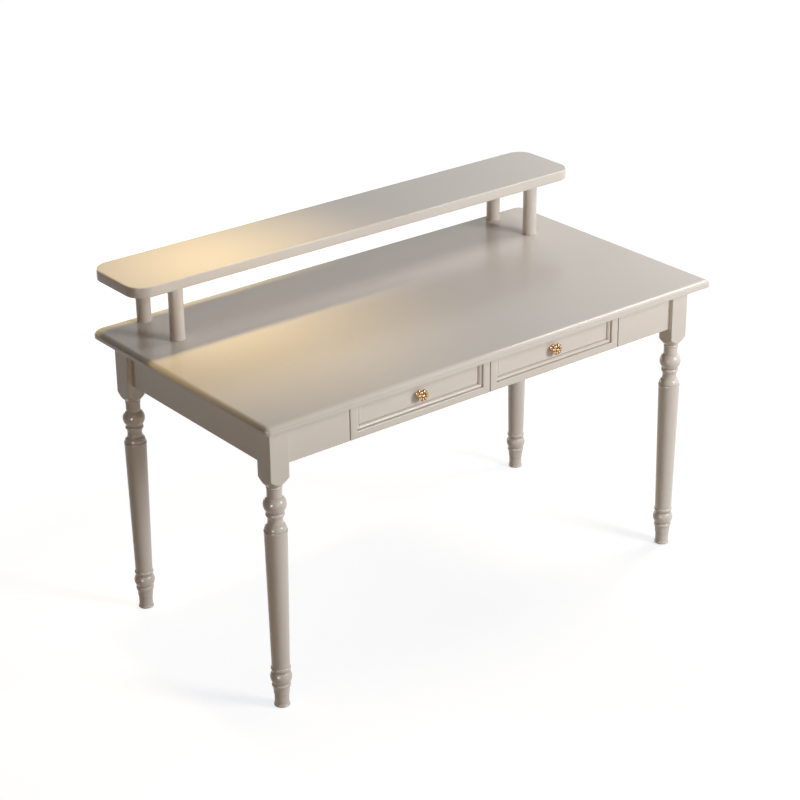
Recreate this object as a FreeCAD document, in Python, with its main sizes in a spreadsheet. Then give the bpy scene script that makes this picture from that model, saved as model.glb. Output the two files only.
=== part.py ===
import FreeCAD, Part
import math
import os
import Sketcher
from FreeCAD import Placement, Rotation, Vector

# A painted country writing desk: moulded top on four turned legs, two drawers on
# ball-bearing slides between two fixed front panels, and a low riser shelf on four
# round posts. Millimetres; +Z up, the front faces -Y, and the origin is on the
# floor under the middle of the desk.

DIMENSIONS = [
    # alias, millimetres, meaning
    ("desk_width", 1360, "desk top along X"),
    ("desk_depth", 724, "desk top along Y"),
    ("desk_height", 750, "floor to writing surface"),
    ("top_thickness", 18, "desk top board"),
    ("top_front_corner", 16, "plan corners at the front of the desk top"),
    ("top_rear_corner", 30, "plan corners at the rear of the desk top"),
    ("top_band_height", 10, "square band under the edge moulding"),
    ("top_moulding_width", 14, "edge to the inner line of the ovolo"),
    ("top_quirk", 1.5, "small step between ovolo and band, across"),
    ("top_quirk_drop", 1, "the same step, down"),
    ("top_ovolo_radius", 17, "curve of the ovolo"),
    ("overhang_side", 38, "desk top beyond the leg blocks, left and right"),
    ("overhang_front", 45, "desk top beyond the leg blocks, front and rear"),
    ("block_side", 51, "square head of a leg"),
    ("block_arris", 1.5, "rounding of the block's upright edges"),
    ("block_inner_flat", 8, "cut at the inner corner of the block"),
    ("glide_thickness", 3, "foot glide under a leg"),
    ("glide_radius", 12, "foot glide"),
    ("glide_nail_radius", 1.5, "nail of the glide"),
    ("glide_nail_length", 14, "nail of the glide, into the foot"),
    ("foot_radius", 17.2, "plain foot of the leg"),
    ("foot_flare", 1.8, "flare at the very bottom of the foot"),
    ("foot_flare_height", 6, "height of that flare"),
    ("foot_flare_radius", 5.4, "curve of that flare"),
    ("foot_height", 26, "plain foot above the flare"),
    ("ankle_fillet", 1.6, "square fillet over the foot, across"),
    ("ankle_fillet_height", 5, "that fillet"),
    ("ankle_height", 13, "cone from the fillet to the lower ring"),
    ("lower_ring_radius", 22.4, "ring under the lower ball"),
    ("lower_ring_height", 9, "that ring"),
    ("lower_quirk_radius", 20.6, "neck between ring, ball and bead"),
    ("lower_quirk_height", 3, "neck between lower ring and ball"),
    ("lower_ball_radius", 25.6, "lower ball"),
    ("lower_ball_height", 28, "lower ball"),
    ("lower_neck_height", 4, "plain neck over the lower ball"),
    ("bead_radius", 23.5, "bead under the shaft"),
    ("bead_height", 10, "that bead"),
    ("shaft_low_radius", 21.3, "lower end of the tapered shaft"),
    ("shaft_high_radius", 27, "upper end of the tapered shaft"),
    ("cap_ring_height", 7, "ring that caps the shaft"),
    ("cap_bulge", 0.5, "that ring beyond the shaft"),
    ("cap_step", 1.6, "step inside that ring"),
    ("cap_step_height", 2, "the same step, up"),
    ("bell_height", 14, "bell between cap ring and cove"),
    ("bell_curve", 16, "hollow side of the bell"),
    ("bell_lip", 1, "top of the bell beyond the waist"),
    ("cove_radius", 17.9, "waist over the bell"),
    ("cove_height", 19, "waist over the bell"),
    ("upper_ring_radius", 22.2, "ring under the upper ball"),
    ("upper_ring_height", 9, "that ring"),
    ("upper_quirk_radius", 19.6, "neck between upper ring and ball"),
    ("upper_quirk_height", 2, "that neck"),
    ("upper_ball_radius", 27, "upper ball"),
    ("upper_ball_height", 37, "upper ball"),
    ("neck_radius", 17.7, "neck over the upper ball"),
    ("neck_height", 22, "neck over the upper ball"),
    ("collar_radius", 18.8, "thin collar under the block"),
    ("collar_height", 5, "that collar"),
    ("shoulder_height", 23, "turned shoulder cut into the block"),
    ("block_height", 138, "block from the top board to its lowest corner"),
    ("apron_height", 110.5, "aprons, panels and drawer fronts to the top board"),
    ("apron_thickness", 18, "aprons and fixed panels"),
    ("apron_recess", 11, "aprons behind the faces of the blocks"),
    ("front_arris", 1, "rounding of the panel and drawer edges"),
    ("front_panel_width", 175.5, "fixed panel between leg block and drawers"),
    ("drawer_front_thickness", 20, "one drawer front"),
    ("drawer_reveal", 3, "gap round a drawer front"),
    ("drawer_stile", 20, "flat margin left and right of the recess"),
    ("drawer_rail", 18, "flat margin over and under the recess"),
    ("recess_depth", 10, "sunk field of a drawer front"),
    ("recess_step", 2.5, "first wall of the recess moulding"),
    ("recess_cove_radius", 5.5, "cove of the recess moulding"),
    ("recess_bead_width", 5, "bead inside the cove"),
    ("recess_bead_radius", 3, "curve of that bead"),
    ("recess_moulding_width", 14, "whole moulding, edge to sunk field"),
    ("stretcher_depth", 60, "flat rail under the top board, front to back"),
    ("stretcher_thickness", 18, "flat rail under the top board"),
    ("stretcher_setback", 2, "rail and slides behind the drawer fronts"),
    ("divider_thickness", 18, "boards that carry the slides"),
    ("divider_height", 92, "boards that carry the slides"),
    ("slide_length", 400, "closed slide"),
    ("slide_travel", 380, "opening of a drawer"),
    ("slide_space", 12.7, "width between divider and drawer side"),
    ("slide_height", 45, "outer member"),
    ("slide_sheet", 1.2, "steel of the slide members"),
    ("slide_ball", 3, "ball race between two members"),
    ("slide_lip", 2, "turned-in lips of the members"),
    ("slide_side_play", 1.5, "members clear of each other sideways"),
    ("slide_middle_shorter", 16, "middle member behind the ends"),
    ("slide_centre_drop", 62, "top board's underside to slide centre"),
    ("slide_screw_radius", 1.8, "slide screws"),
    ("slide_screw_length", 9, "slide screws, under the head"),
    ("slide_screw_head", 3.2, "slide screws, head radius"),
    ("slide_screw_head_height", 1, "slide screws, head"),
    ("slide_screw_inset", 40, "first screw behind the end of the slide"),
    ("box_side_thickness", 12, "drawer sides and back"),
    ("box_side_height", 74, "drawer sides"),
    ("box_top_drop", 24, "top board's underside to drawer sides"),
    ("box_length", 410, "drawer sides"),
    ("box_bottom_thickness", 6, "drawer bottom"),
    ("box_bottom_lift", 9, "groove above the lower edge"),
    ("groove_depth", 6, "groove for the drawer bottom"),
    ("groove_play", 0.2, "clearance of the bottom in its grooves"),
    ("knob_base_radius", 8.5, "rosette of the knob"),
    ("knob_base_height", 2.5, "rosette of the knob"),
    ("knob_stem_radius", 5, "stem of the knob"),
    ("knob_stem_height", 8, "stem between rosette and head"),
    ("knob_base_edge", 1, "upright edge of the rosette"),
    ("knob_stem_flare", 1, "foot of the stem beyond its waist"),
    ("knob_stem_curve", 16, "waist of the stem"),
    ("knob_core_radius", 9.5, "plate behind the petals"),
    ("knob_core_back", 4.5, "back of that plate, from the stem"),
    ("knob_core_rim", 1, "edge of that plate"),
    ("knob_petal_radius", 4.6, "round petal of the head"),
    ("knob_petal_depth", 8.4, "petal, back to front"),
    ("knob_petal_slope", 1.8, "bevel round a petal, front and back"),
    ("knob_petal_reach", 10, "middle of a petal from the knob's axis"),
    ("knob_petals", 8, "petals round the head"),
    ("knob_button_radius", 4.8, "button in the middle of the head"),
    ("knob_button_height", 4.4, "button over the plate"),
    ("knob_button_slope", 1.6, "bevel round the button"),
    ("knob_screw_radius", 2, "screw that holds the knob"),
    ("knob_screw_play", 0.3, "screw hole through the front"),
    ("knob_screw_head", 4.2, "its head"),
    ("knob_screw_head_height", 2.4, "its head"),
    ("knob_screw_grip", 9, "screw inside the knob"),
    ("brace_reach", 50, "corner brace from the inner corner of the aprons"),
    ("brace_thickness", 20, "corner brace"),
    ("brace_height", 84, "corner brace"),
    ("brace_drop", 8, "brace under the top board"),
    ("bolt_radius", 4, "hanger bolt"),
    ("bolt_play", 0.5, "bolt hole through the brace"),
    ("bolt_grip", 24, "bolt inside the leg block"),
    ("nut_radius", 7.2, "flange nut"),
    ("nut_height", 6, "flange nut"),
    ("bolt_stub", 4, "bolt beyond the nut"),
    ("bracket_leg", 20, "angle bracket under the top"),
    ("bracket_sheet", 2, "angle bracket"),
    ("bracket_width", 16, "angle bracket"),
    ("brace_screw_radius", 2, "wood screw from brace to apron"),
    ("brace_screw_head", 4, "its head"),
    ("brace_screw_head_height", 2.5, "its head"),
    ("brace_screw_bore", 4.3, "counterbore for that head"),
    ("brace_screw_seat", 11, "head seat from the apron face"),
    ("brace_screw_length", 22, "wood screw under the head"),
    ("brace_screw_offset", 57, "screw from the inner corner of the aprons"),
    ("brace_screw_rise", 25, "screw above the hanger bolt"),
    ("bracket_inset", 150, "bracket from the middle of an apron"),
    ("bracket_hole_play", 0.3, "screw holes in the brackets"),
    ("bracket_screw_radius", 1.8, "bracket screws"),
    ("bracket_screw_length", 12, "bracket screws, under the head"),
    ("bracket_screw_head", 3.4, "bracket screws, head radius"),
    ("bracket_screw_head_height", 1.6, "bracket screws, head"),
    ("shelf_end_inset", 5, "desk top beyond the shelf, left and right"),
    ("shelf_depth", 204, "riser shelf along Y"),
    ("shelf_thickness", 27, "riser shelf"),
    ("shelf_clearance", 134, "writing surface to shelf underside"),
    ("shelf_rear_inset", 10, "shelf in front of the desk top's rear edge"),
    ("shelf_corner_radius", 45, "plan corners of the shelf"),
    ("shelf_edge_radius", 3, "rounding of the shelf edges"),
    ("post_radius", 18, "shelf post"),
    ("post_end_inset", 124, "post axis from the end of the shelf"),
    ("post_edge_inset", 29, "post axis from the long edge of the shelf"),
    ("post_bolt_radius", 3, "bolt through the top into a post"),
    ("post_bolt_play", 0.5, "its hole through the top board"),
    ("post_bolt_grip", 30, "bolt inside the post"),
    ("post_bolt_head", 6, "its head"),
    ("post_bolt_head_height", 4, "its head"),
    ("post_dowel_radius", 4, "dowel between post and shelf"),
    ("post_dowel_grip", 20, "dowel inside the post"),
    ("post_dowel_rise", 15, "dowel inside the shelf"),
]

doc = FreeCAD.newDocument("writing_desk")
sheet = doc.addObject("Spreadsheet::Sheet", "dims")


class Size:
    """A number together with the sheet expression that gives it."""

    def __init__(self, number, text):
        self.number = number
        self.text = text

    def joined(self, other, sign, number):
        return Size(number, f"({self.text} {sign} {as_size(other).text})")

    def __add__(self, other):
        return self.joined(other, "+", self.number + as_size(other).number)

    def __sub__(self, other):
        return self.joined(other, "-", self.number - as_size(other).number)

    def __mul__(self, other):
        return self.joined(other, "*", self.number * as_size(other).number)

    def __truediv__(self, other):
        return self.joined(other, "/", self.number / as_size(other).number)

    def __neg__(self):
        return Size(-self.number, f"(0 - {self.text})")

    def __radd__(self, other):
        return as_size(other) + self

    def __rmul__(self, other):
        return as_size(other) * self


def as_size(value):
    return value if isinstance(value, Size) else Size(float(value), repr(value))


class Sheet:
    """Every named size of the desk, as Size values."""


d = Sheet()
for row, (alias, number, meaning) in enumerate(DIMENSIONS, start=1):
    sheet.set(f"A{row}", meaning)
    sheet.set(f"B{row}", str(number))
    sheet.setAlias(f"B{row}", alias)
    setattr(d, alias, Size(float(number), f"dims.{alias}"))
doc.recompute()

ROOT_TWO = math.sqrt(2)
# Cutting shapes start this far outside the surface they cut.
OVERRUN = 1

# ---------------------------------------------------------------- shared places

under_top = d.desk_height - d.top_thickness
half_width = d.desk_width / 2
half_depth = d.desk_depth / 2
block_x = half_width - d.overhang_side
block_y = half_depth - d.overhang_front
leg_x = block_x - d.block_side / 2
leg_y = block_y - d.block_side / 2
inner_block_x = block_x - d.block_side
inner_block_y = block_y - d.block_side
apron_x = block_x - d.apron_recess
apron_y = block_y - d.apron_recess
apron_inner_x = apron_x - d.apron_thickness
apron_inner_y = apron_y - d.apron_thickness
apron_bottom = under_top - d.apron_height
drawer_top = under_top - d.drawer_reveal
drawer_height = d.apron_height - d.drawer_reveal
drawer_inner_x = d.drawer_reveal / 2
drawer_outer_x = inner_block_x - d.front_panel_width - d.drawer_reveal
drawer_front_width = drawer_outer_x - drawer_inner_x
divider_x = drawer_outer_x + d.drawer_reveal
drawer_back_y = d.drawer_front_thickness - apron_y
carcass_front_y = drawer_back_y + d.stretcher_setback
box_outer_left = divider_x - d.slide_space
box_outer_right = d.divider_thickness / 2 + d.slide_space
box_top = under_top - d.box_top_drop
box_bottom = box_top - d.box_side_height
slide_z = under_top - d.slide_centre_drop
shelf_bottom = d.desk_height + d.shelf_clearance
shelf_y = half_depth - d.shelf_rear_inset - d.shelf_depth / 2
half_shelf = half_width - d.shelf_end_inset
post_x = half_shelf - d.post_end_inset
post_y = d.shelf_depth / 2 - d.post_edge_inset
knob_x = (drawer_inner_x + drawer_outer_x) / 2
knob_z = drawer_top - drawer_height / 2
field_y = d.recess_depth - apron_y

# ---------------------------------------------------------------- drawing helpers


def origin_part(body, role):
    return next(item for item in body.Origin.OriginFeatures if item.Role == role)


def new_body(label):
    body = doc.addObject("PartDesign::Body", label)
    body.Label = label
    return body


def place(body, x=0, y=0, z=0, rotation=None):
    if rotation:
        body.Placement = Placement(Vector(), rotation)
    for axis, value in zip("xyz", (x, y, z)):
        body.setExpression(f"Placement.Base.{axis}", as_size(value).text)


def new_sketch(body, name, plane, lift=0, along=0, turn=None):
    """Sketch on an origin plane, moved along its first axis and lifted off it."""
    sketch = body.newObject("Sketcher::SketchObject", name)
    sketch.AttachmentSupport = [(origin_part(body, plane), "")]
    sketch.MapMode = "FlatFace"
    if turn:
        sketch.AttachmentOffset = Placement(Vector(), turn)
    sketch.setExpression("AttachmentOffset.Base.x", as_size(along).text)
    sketch.setExpression("AttachmentOffset.Base.z", as_size(lift).text)
    return sketch


def fix_point(sketch, geometry, point, x, y):
    """Hold one point of the sketch at (x, y) by driven distances from the origin."""
    for kind, axis, value in (("DistanceX", -2, as_size(x)), ("DistanceY", -1, as_size(y))):
        if value.number == 0:
            sketch.addConstraint(Sketcher.Constraint("PointOnObject", geometry, point, axis))
            continue
        at = sketch.addConstraint(
            Sketcher.Constraint(kind, -1, 1, geometry, point, value.number)
        )
        sketch.setExpression(f"Constraints[{at}]", value.text)


def arc_between(start, end, radius, turn):
    """Arc from start to end; turn 1 bends left (anticlockwise), -1 bends right."""
    middle = (start + end) * 0.5
    half = (end - start) * 0.5
    rise = math.sqrt(max(radius * radius - half.Length * half.Length, 0.0))
    normal = Vector(-half.y, half.x, 0).normalize()
    centre = middle + normal * (rise * turn)
    circle = Part.Circle(centre, Vector(0, 0, 1), radius)
    first, last = (start, end) if turn > 0 else (end, start)
    angles = [math.atan2(p.y - centre.y, p.x - centre.x) for p in (first, last)]
    if angles[1] < angles[0]:
        angles[1] += 2 * math.pi
    return Part.ArcOfCircle(circle, *angles)


def draw(sketch, steps, closed=True):
    """Draw lines and arcs through the steps (x, y) or (x, y, radius, turn)."""
    corners = [tuple(as_size(v) for v in step[:2]) for step in steps]
    points = [Vector(x.number, y.number, 0) for x, y in corners]
    count = len(steps) if closed else len(steps) - 1
    for index in range(count):
        after = (index + 1) % len(steps)
        bend = steps[after][2:]
        if bend:
            radius, turn = as_size(bend[0]), bend[1]
            arc = arc_between(points[index], points[after], radius.number, turn)
            at = sketch.addGeometry(arc, False)
            ends = (1, 2) if turn > 0 else (2, 1)
            held = sketch.addConstraint(Sketcher.Constraint("Radius", at, radius.number))
            sketch.setExpression(f"Constraints[{held}]", radius.text)
        else:
            at = sketch.addGeometry(Part.LineSegment(points[index], points[after]), False)
            ends = (1, 2)
        fix_point(sketch, at, ends[0], *corners[index])
        fix_point(sketch, at, ends[1], *corners[after])


def draw_circle(sketch, x, y, radius):
    x, y, radius = as_size(x), as_size(y), as_size(radius)
    circle = Part.Circle(Vector(x.number, y.number, 0), Vector(0, 0, 1), radius.number)
    at = sketch.addGeometry(circle, False)
    fix_point(sketch, at, 3, x, y)
    held = sketch.addConstraint(Sketcher.Constraint("Radius", at, radius.number))
    sketch.setExpression(f"Constraints[{held}]", radius.text)


def rectangle(x0, y0, x1, y1):
    return [(x0, y0), (x1, y0), (x1, y1), (x0, y1)]


def rounded(half_x, half_y, front, rear):
    """Rectangle about the origin with rounded front and rear corners, anticlockwise."""
    return [
        (half_x, front - half_y, front, 1),
        (half_x, half_y - rear),
        (half_x - rear, half_y, rear, 1),
        (rear - half_x, half_y),
        (-half_x, half_y - rear, rear, 1),
        (-half_x, front - half_y),
        (front - half_x, -half_y, front, 1),
        (half_x - front, -half_y),
    ]


def feature(body, kind, name, sketch, **settings):
    item = body.newObject(f"PartDesign::{kind}", name)
    item.Profile = sketch
    for key, value in settings.items():
        if isinstance(value, Size):
            item.setExpression(key, value.text)
        else:
            setattr(item, key, value)
    return item


def turn_solid(body, name, sketch, kind="Revolution", axis="V_Axis"):
    item = body.newObject(f"PartDesign::{kind}", name)
    item.Profile = sketch
    item.ReferenceAxis = (sketch, [axis])
    item.Angle = 360
    return item


def mirrored(body, name, features, planes):
    """Copy the features across one or two origin planes of the body."""
    pattern = body.newObject("PartDesign::MultiTransform", name)
    pattern.Originals = features
    steps = []
    for plane in planes:
        step = body.newObject("PartDesign::Mirrored", f"{name}_{plane[:2].lower()}")
        step.MirrorPlane = (origin_part(body, plane), [""])
        steps.append(step)
    pattern.Transformations = steps
    body.Tip = pattern
    return pattern


def round_edges(body, name, chosen, radius):
    """Fillet the edges of the body's shape for which chosen(edge) is true."""
    doc.recompute()
    base = body.Tip
    edges = [
        f"Edge{index}"
        for index, edge in enumerate(base.Shape.Edges, start=1)
        if chosen(edge)
    ]
    fillet = body.newObject("PartDesign::Fillet", name)
    fillet.Base = (base, edges)
    fillet.setExpression("Radius", radius.text)
    return fillet


def board(label, size, corner):
    """Plain board with its low corner at the given place."""
    body = new_body(label)
    sketch = new_sketch(body, f"{label}_face", "XY_Plane")
    draw(sketch, rectangle(0, 0, size[0], size[1]))
    feature(body, "Pad", f"{label}_pad", sketch, Length=size[2])
    place(body, *corner)
    return body


def upright(edge):
    return abs(edge.BoundBox.ZLength - edge.Length) < 1e-6


SIDES = {"left": -1, "right": 1}
CORNERS = {
    "front_left": (-1, -1, 0),
    "front_right": (1, -1, 90),
    "rear_right": (1, 1, 180),
    "rear_left": (-1, 1, 270),
}

# ---------------------------------------------------------------- desk top


def make_desk_top():
    body = new_body("desk_top")
    outline = new_sketch(body, "top_outline", "XY_Plane")
    front, rear = d.top_front_corner, d.top_rear_corner
    draw(outline, rounded(half_width, half_depth, front, rear))
    feature(body, "Pad", "top_board", outline, Length=d.top_thickness)

    # The moulding cutter runs round the right half of the edge and is mirrored.
    path = new_sketch(body, "top_edge_path", "XY_Plane", lift=d.top_thickness)
    right_half = [
        (0, -half_depth),
        (half_width - front, -half_depth),
        (half_width, front - half_depth, front, 1),
        (half_width, half_depth - rear),
        (half_width - rear, half_depth, rear, 1),
        (0, half_depth),
    ]
    draw(path, right_half, closed=False)
    cutter = new_sketch(body, "top_edge_profile", "YZ_Plane")
    ovolo_y = d.top_moulding_width - half_depth
    quirk_y = d.top_quirk - half_depth
    quirk_z = d.top_band_height + d.top_quirk_drop
    outside_y = -half_depth - OVERRUN
    draw(
        cutter,
        [
            (ovolo_y, d.top_thickness),
            (quirk_y, quirk_z, d.top_ovolo_radius, 1),
            (quirk_y, d.top_band_height),
            (outside_y, d.top_band_height),
            (outside_y, d.top_thickness + OVERRUN),
            (ovolo_y, d.top_thickness + OVERRUN),
        ],
    )
    moulding = body.newObject("PartDesign::SubtractivePipe", "top_moulding")
    moulding.Profile = cutter
    moulding.Spine = (path, [f"Edge{k}" for k in range(1, 6)])
    mirrored(body, "top_moulding_round", [moulding], ["YZ_Plane"])

    holes = new_sketch(body, "top_post_holes", "XY_Plane")
    for x in (-1, 1):
        for y in (-1, 1):
            draw_circle(
                holes,
                x * post_x,
                shelf_y + y * post_y,
                d.post_bolt_radius + d.post_bolt_play,
            )
    feature(body, "Pocket", "top_post_bores", holes, Length=d.top_thickness, Reversed=True)
    place(body, 0, 0, under_top)
    return body


# ---------------------------------------------------------------- legs

leg_height = under_top - d.glide_thickness
head_height = d.block_height + d.shoulder_height
head_low = leg_height - head_height
corner_radius = d.block_side * ROOT_TWO / 2


def quarter_bulge(r_end, r_full, rise):
    """Radius of the arc that leaves r_end and is upright at r_full after the rise."""
    step = r_full - r_end
    return (step * step + rise * rise) / (step * 2)


def leg_profile():
    """Right-hand outline of the turned leg, from the floor end up to the block."""
    steps = [(0, 0)]
    flare = d.foot_radius + d.foot_flare
    z = d.foot_flare_height
    steps.append((flare, 0))
    steps.append((flare, z / 2))
    steps.append((d.foot_radius, z, d.foot_flare_radius, -1))
    z = z + d.foot_height
    steps.append((d.foot_radius, z))
    fillet = d.foot_radius + d.ankle_fillet
    steps.append((fillet, z))
    z = z + d.ankle_fillet_height
    steps.append((fillet, z))
    z = z + d.ankle_height
    steps.append((d.lower_quirk_radius, z))

    def bulge(z_now, low, full, high, height):
        half = height / 2
        steps.append((full, z_now + half, quarter_bulge(low, full, half), 1))
        steps.append((high, z_now + height, quarter_bulge(high, full, half), 1))
        return z_now + height

    z = bulge(z, d.lower_quirk_radius, d.lower_ring_radius, d.lower_quirk_radius,
              d.lower_ring_height)
    z = z + d.lower_quirk_height
    steps.append((d.lower_quirk_radius, z))
    z = bulge(z, d.lower_quirk_radius, d.lower_ball_radius, d.lower_quirk_radius,
              d.lower_ball_height)
    z = z + d.lower_neck_height
    steps.append((d.lower_quirk_radius, z))
    z = bulge(z, d.lower_quirk_radius, d.bead_radius, d.shaft_low_radius, d.bead_height)

    # The upper turnings are counted down from the block, so the shaft takes up
    # whatever height is left.
    collar_top = head_low
    neck_top = collar_top - d.collar_height
    ball_top = neck_top - d.neck_height
    ball_low = ball_top - d.upper_ball_height
    ring_top = ball_low - d.upper_quirk_height
    ring_low = ring_top - d.upper_ring_height
    bell_top = ring_low - d.cove_height
    bell_low = bell_top - d.bell_height
    cap_top = bell_low - d.cap_step_height
    cap_low = cap_top - d.cap_ring_height
    cap_radius = d.shaft_high_radius + d.cap_bulge
    steps.append((d.shaft_high_radius, cap_low))
    bulge(cap_low, d.shaft_high_radius, cap_radius, d.shaft_high_radius, d.cap_ring_height)
    bell_radius = d.shaft_high_radius - d.cap_step
    steps.append((bell_radius, cap_top))
    steps.append((bell_radius, bell_low))
    bell_end = d.cove_radius + d.bell_lip
    steps.append((bell_end, bell_top, d.bell_curve, 1))
    waist = d.cove_height / 2
    steps.append((d.cove_radius, ring_low - waist,
                  quarter_bulge(d.cove_radius, bell_end, waist), -1))
    steps.append((d.upper_quirk_radius, ring_low,
                  quarter_bulge(d.cove_radius, d.upper_quirk_radius, waist), -1))
    bulge(ring_low, d.upper_quirk_radius, d.upper_ring_radius, d.upper_quirk_radius,
          d.upper_ring_height)
    steps.append((d.upper_quirk_radius, ball_low))
    bulge(ball_low, d.upper_quirk_radius, d.upper_ball_radius, d.neck_radius,
          d.upper_ball_height)
    steps.append((d.neck_radius, neck_top))
    bulge(neck_top, d.neck_radius, d.collar_radius, d.neck_radius, d.collar_height)
    steps.append((0, collar_top))
    return steps


def make_leg(corner):
    sign_x, sign_y, angle = CORNERS[corner]
    label = f"leg_{corner}"
    body = new_body(label)
    half = d.block_side / 2

    head = new_sketch(body, f"{label}_block", "XY_Plane", lift=head_low)
    draw(head, rectangle(-half, -half, half, half))
    feature(body, "Pad", f"{label}_head", head, Length=head_height)
    round_edges(body, f"{label}_arris", lambda e: upright(e), d.block_arris)

    # The shoulder is turned: a cone that takes the lower corners off the block.
    cut = new_sketch(body, f"{label}_shoulder", "XZ_Plane")
    slope_top = head_low + d.shoulder_height
    outside = corner_radius + OVERRUN
    draw(
        cut,
        [
            (d.neck_radius, head_low),
            (outside, head_low),
            (outside, slope_top),
            (corner_radius, slope_top),
        ],
    )
    turn_solid(body, f"{label}_shoulder_cut", cut, "Groove")

    flat = new_sketch(body, f"{label}_inner_flat", "XY_Plane", lift=head_low)
    reach = half + OVERRUN
    draw(
        flat,
        [
            (half - d.block_inner_flat - OVERRUN, reach),
            (reach, half - d.block_inner_flat - OVERRUN),
            (reach, reach),
        ],
    )
    feature(body, "Pocket", f"{label}_inner_cut", flat, Length=head_height, Reversed=True)

    turning = new_sketch(body, f"{label}_turning", "XZ_Plane")
    draw(turning, leg_profile())
    turn_solid(body, f"{label}_turned", turning)

    inwards = bolt_start / ROOT_TWO
    bore = new_sketch(body, f"{label}_bolt_hole", "XZ_Plane", lift=-inwards, along=inwards,
                      turn=TO_DIAGONAL)
    draw_circle(bore, 0, bolt_z - d.glide_thickness, d.bolt_radius)
    feature(body, "Pocket", f"{label}_bolt_bore", bore, Length=d.block_side, Reversed=True)

    nail = new_sketch(body, f"{label}_nail_hole", "XY_Plane")
    draw_circle(nail, 0, 0, d.glide_nail_radius)
    feature(body, "Pocket", f"{label}_nail_bore", nail, Length=d.glide_nail_length,
            Reversed=True)
    place(body, sign_x * leg_x, sign_y * leg_y, d.glide_thickness,
          Rotation(Vector(0, 0, 1), angle))
    return body


# ---------------------------------------------------------------- corner joints

# In the corner frame the diagonal into the desk is +X+Y; this turn stands an XZ
# sketch square to it.
TO_DIAGONAL = Rotation(Vector(0, 1, 0), 135)
brace_far = d.brace_reach + d.brace_thickness * ROOT_TWO
brace_z = under_top - d.brace_drop - d.brace_height
bolt_z = brace_z + d.brace_height / 2
leg_flat_distance = (d.block_side - d.block_inner_flat) / ROOT_TWO
bolt_start = leg_flat_distance - d.bolt_grip
brace_screw_z = bolt_z + d.brace_screw_rise


def make_brace(corner):
    """Diagonal block glued between two aprons, drilled for the hanger bolt."""
    sign_x, sign_y, angle = CORNERS[corner]
    label = f"corner_brace_{corner}"
    body = new_body(label)
    plan = new_sketch(body, f"{label}_plan", "XY_Plane")
    draw(
        plan,
        [(d.brace_reach, 0), (brace_far, 0), (0, brace_far), (0, d.brace_reach)],
    )
    feature(body, "Pad", f"{label}_block", plan, Length=d.brace_height)
    hole = new_sketch(body, f"{label}_hole", "XZ_Plane", turn=TO_DIAGONAL)
    draw_circle(hole, 0, d.brace_height / 2, d.bolt_radius + d.bolt_play)
    feature(body, "Pocket", f"{label}_bore", hole, Length=brace_far, Reversed=True)
    for wing, plane, flip in (("x", "YZ_Plane", True), ("y", "XZ_Plane", False)):
        for part, radius, start, length in (
            ("hole", d.brace_screw_radius, as_size(0), d.brace_screw_seat),
            ("seat", d.brace_screw_bore, d.brace_screw_seat, brace_far),
        ):
            lift = start if plane == "YZ_Plane" else -start
            screw = new_sketch(body, f"{label}_{wing}_{part}", plane, lift=lift)
            draw_circle(screw, d.brace_screw_offset, brace_screw_z - brace_z, radius)
            feature(body, "Pocket", f"{label}_{wing}_{part}_cut", screw, Length=length,
                    Reversed=flip)
    place(body, sign_x * apron_inner_x, sign_y * apron_inner_y, brace_z,
          Rotation(Vector(0, 0, 1), angle))
    return body


leg_to_corner = (leg_x - apron_inner_x) * ROOT_TWO
brace_back = leg_to_corner + brace_far / ROOT_TWO


def diagonal_sketch(body, name, distance):
    """Sketch square to the front left diagonal, so far inwards of the leg's axis."""
    inwards = distance / ROOT_TWO
    return new_sketch(
        body, name, "XZ_Plane", lift=leg_y - inwards, along=inwards - leg_x, turn=TO_DIAGONAL
    )


def make_leg_bolts():
    body = new_body("leg_bolts")
    round_bar = diagonal_sketch(body, "leg_bolt_section", bolt_start)
    draw_circle(round_bar, 0, bolt_z, d.bolt_radius)
    length = brace_back + d.nut_height + d.bolt_stub - bolt_start
    bolt = feature(body, "Pad", "leg_bolt", round_bar, Length=length)
    mirrored(body, "leg_bolt_set", [bolt], ["YZ_Plane", "XZ_Plane"])
    return body


def make_leg_nuts():
    body = new_body("leg_bolt_nuts")
    hexagon = diagonal_sketch(body, "leg_nut_section", brace_back)
    corners = [
        (d.nut_radius * math.cos(math.radians(60 * k)),
         bolt_z + d.nut_radius * math.sin(math.radians(60 * k)))
        for k in range(6)
    ]
    draw(hexagon, corners)
    draw_circle(hexagon, 0, bolt_z, d.bolt_radius)
    nut = feature(body, "Pad", "leg_nut", hexagon, Length=d.nut_height)
    mirrored(body, "leg_nut_set", [nut], ["YZ_Plane", "XZ_Plane"])
    return body


def make_brace_screws():
    """Wood screws from the corner braces square into the two aprons beside them."""
    body = new_body("brace_screws")
    seat_x = d.brace_screw_seat - apron_inner_x
    seat_y = d.brace_screw_seat - apron_inner_y
    places = (
        ("side", "YZ_Plane", seat_x, d.brace_screw_offset - apron_inner_y, True),
        ("end", "XZ_Plane", -seat_y, d.brace_screw_offset - apron_inner_x, False),
    )
    made = []
    for name, plane, lift, across, flip in places:
        for part, radius, length, back in (
            ("shank", d.brace_screw_radius, d.brace_screw_length, flip),
            ("head", d.brace_screw_head, d.brace_screw_head_height, not flip),
        ):
            circle = new_sketch(body, f"brace_{name}_{part}_circle", plane, lift=lift)
            draw_circle(circle, across, brace_screw_z, radius)
            made.append(feature(body, "Pad", f"brace_{name}_{part}", circle, Length=length,
                                Reversed=back))
    mirrored(body, "brace_screw_set", made, ["YZ_Plane", "XZ_Plane"])
    return body


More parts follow.
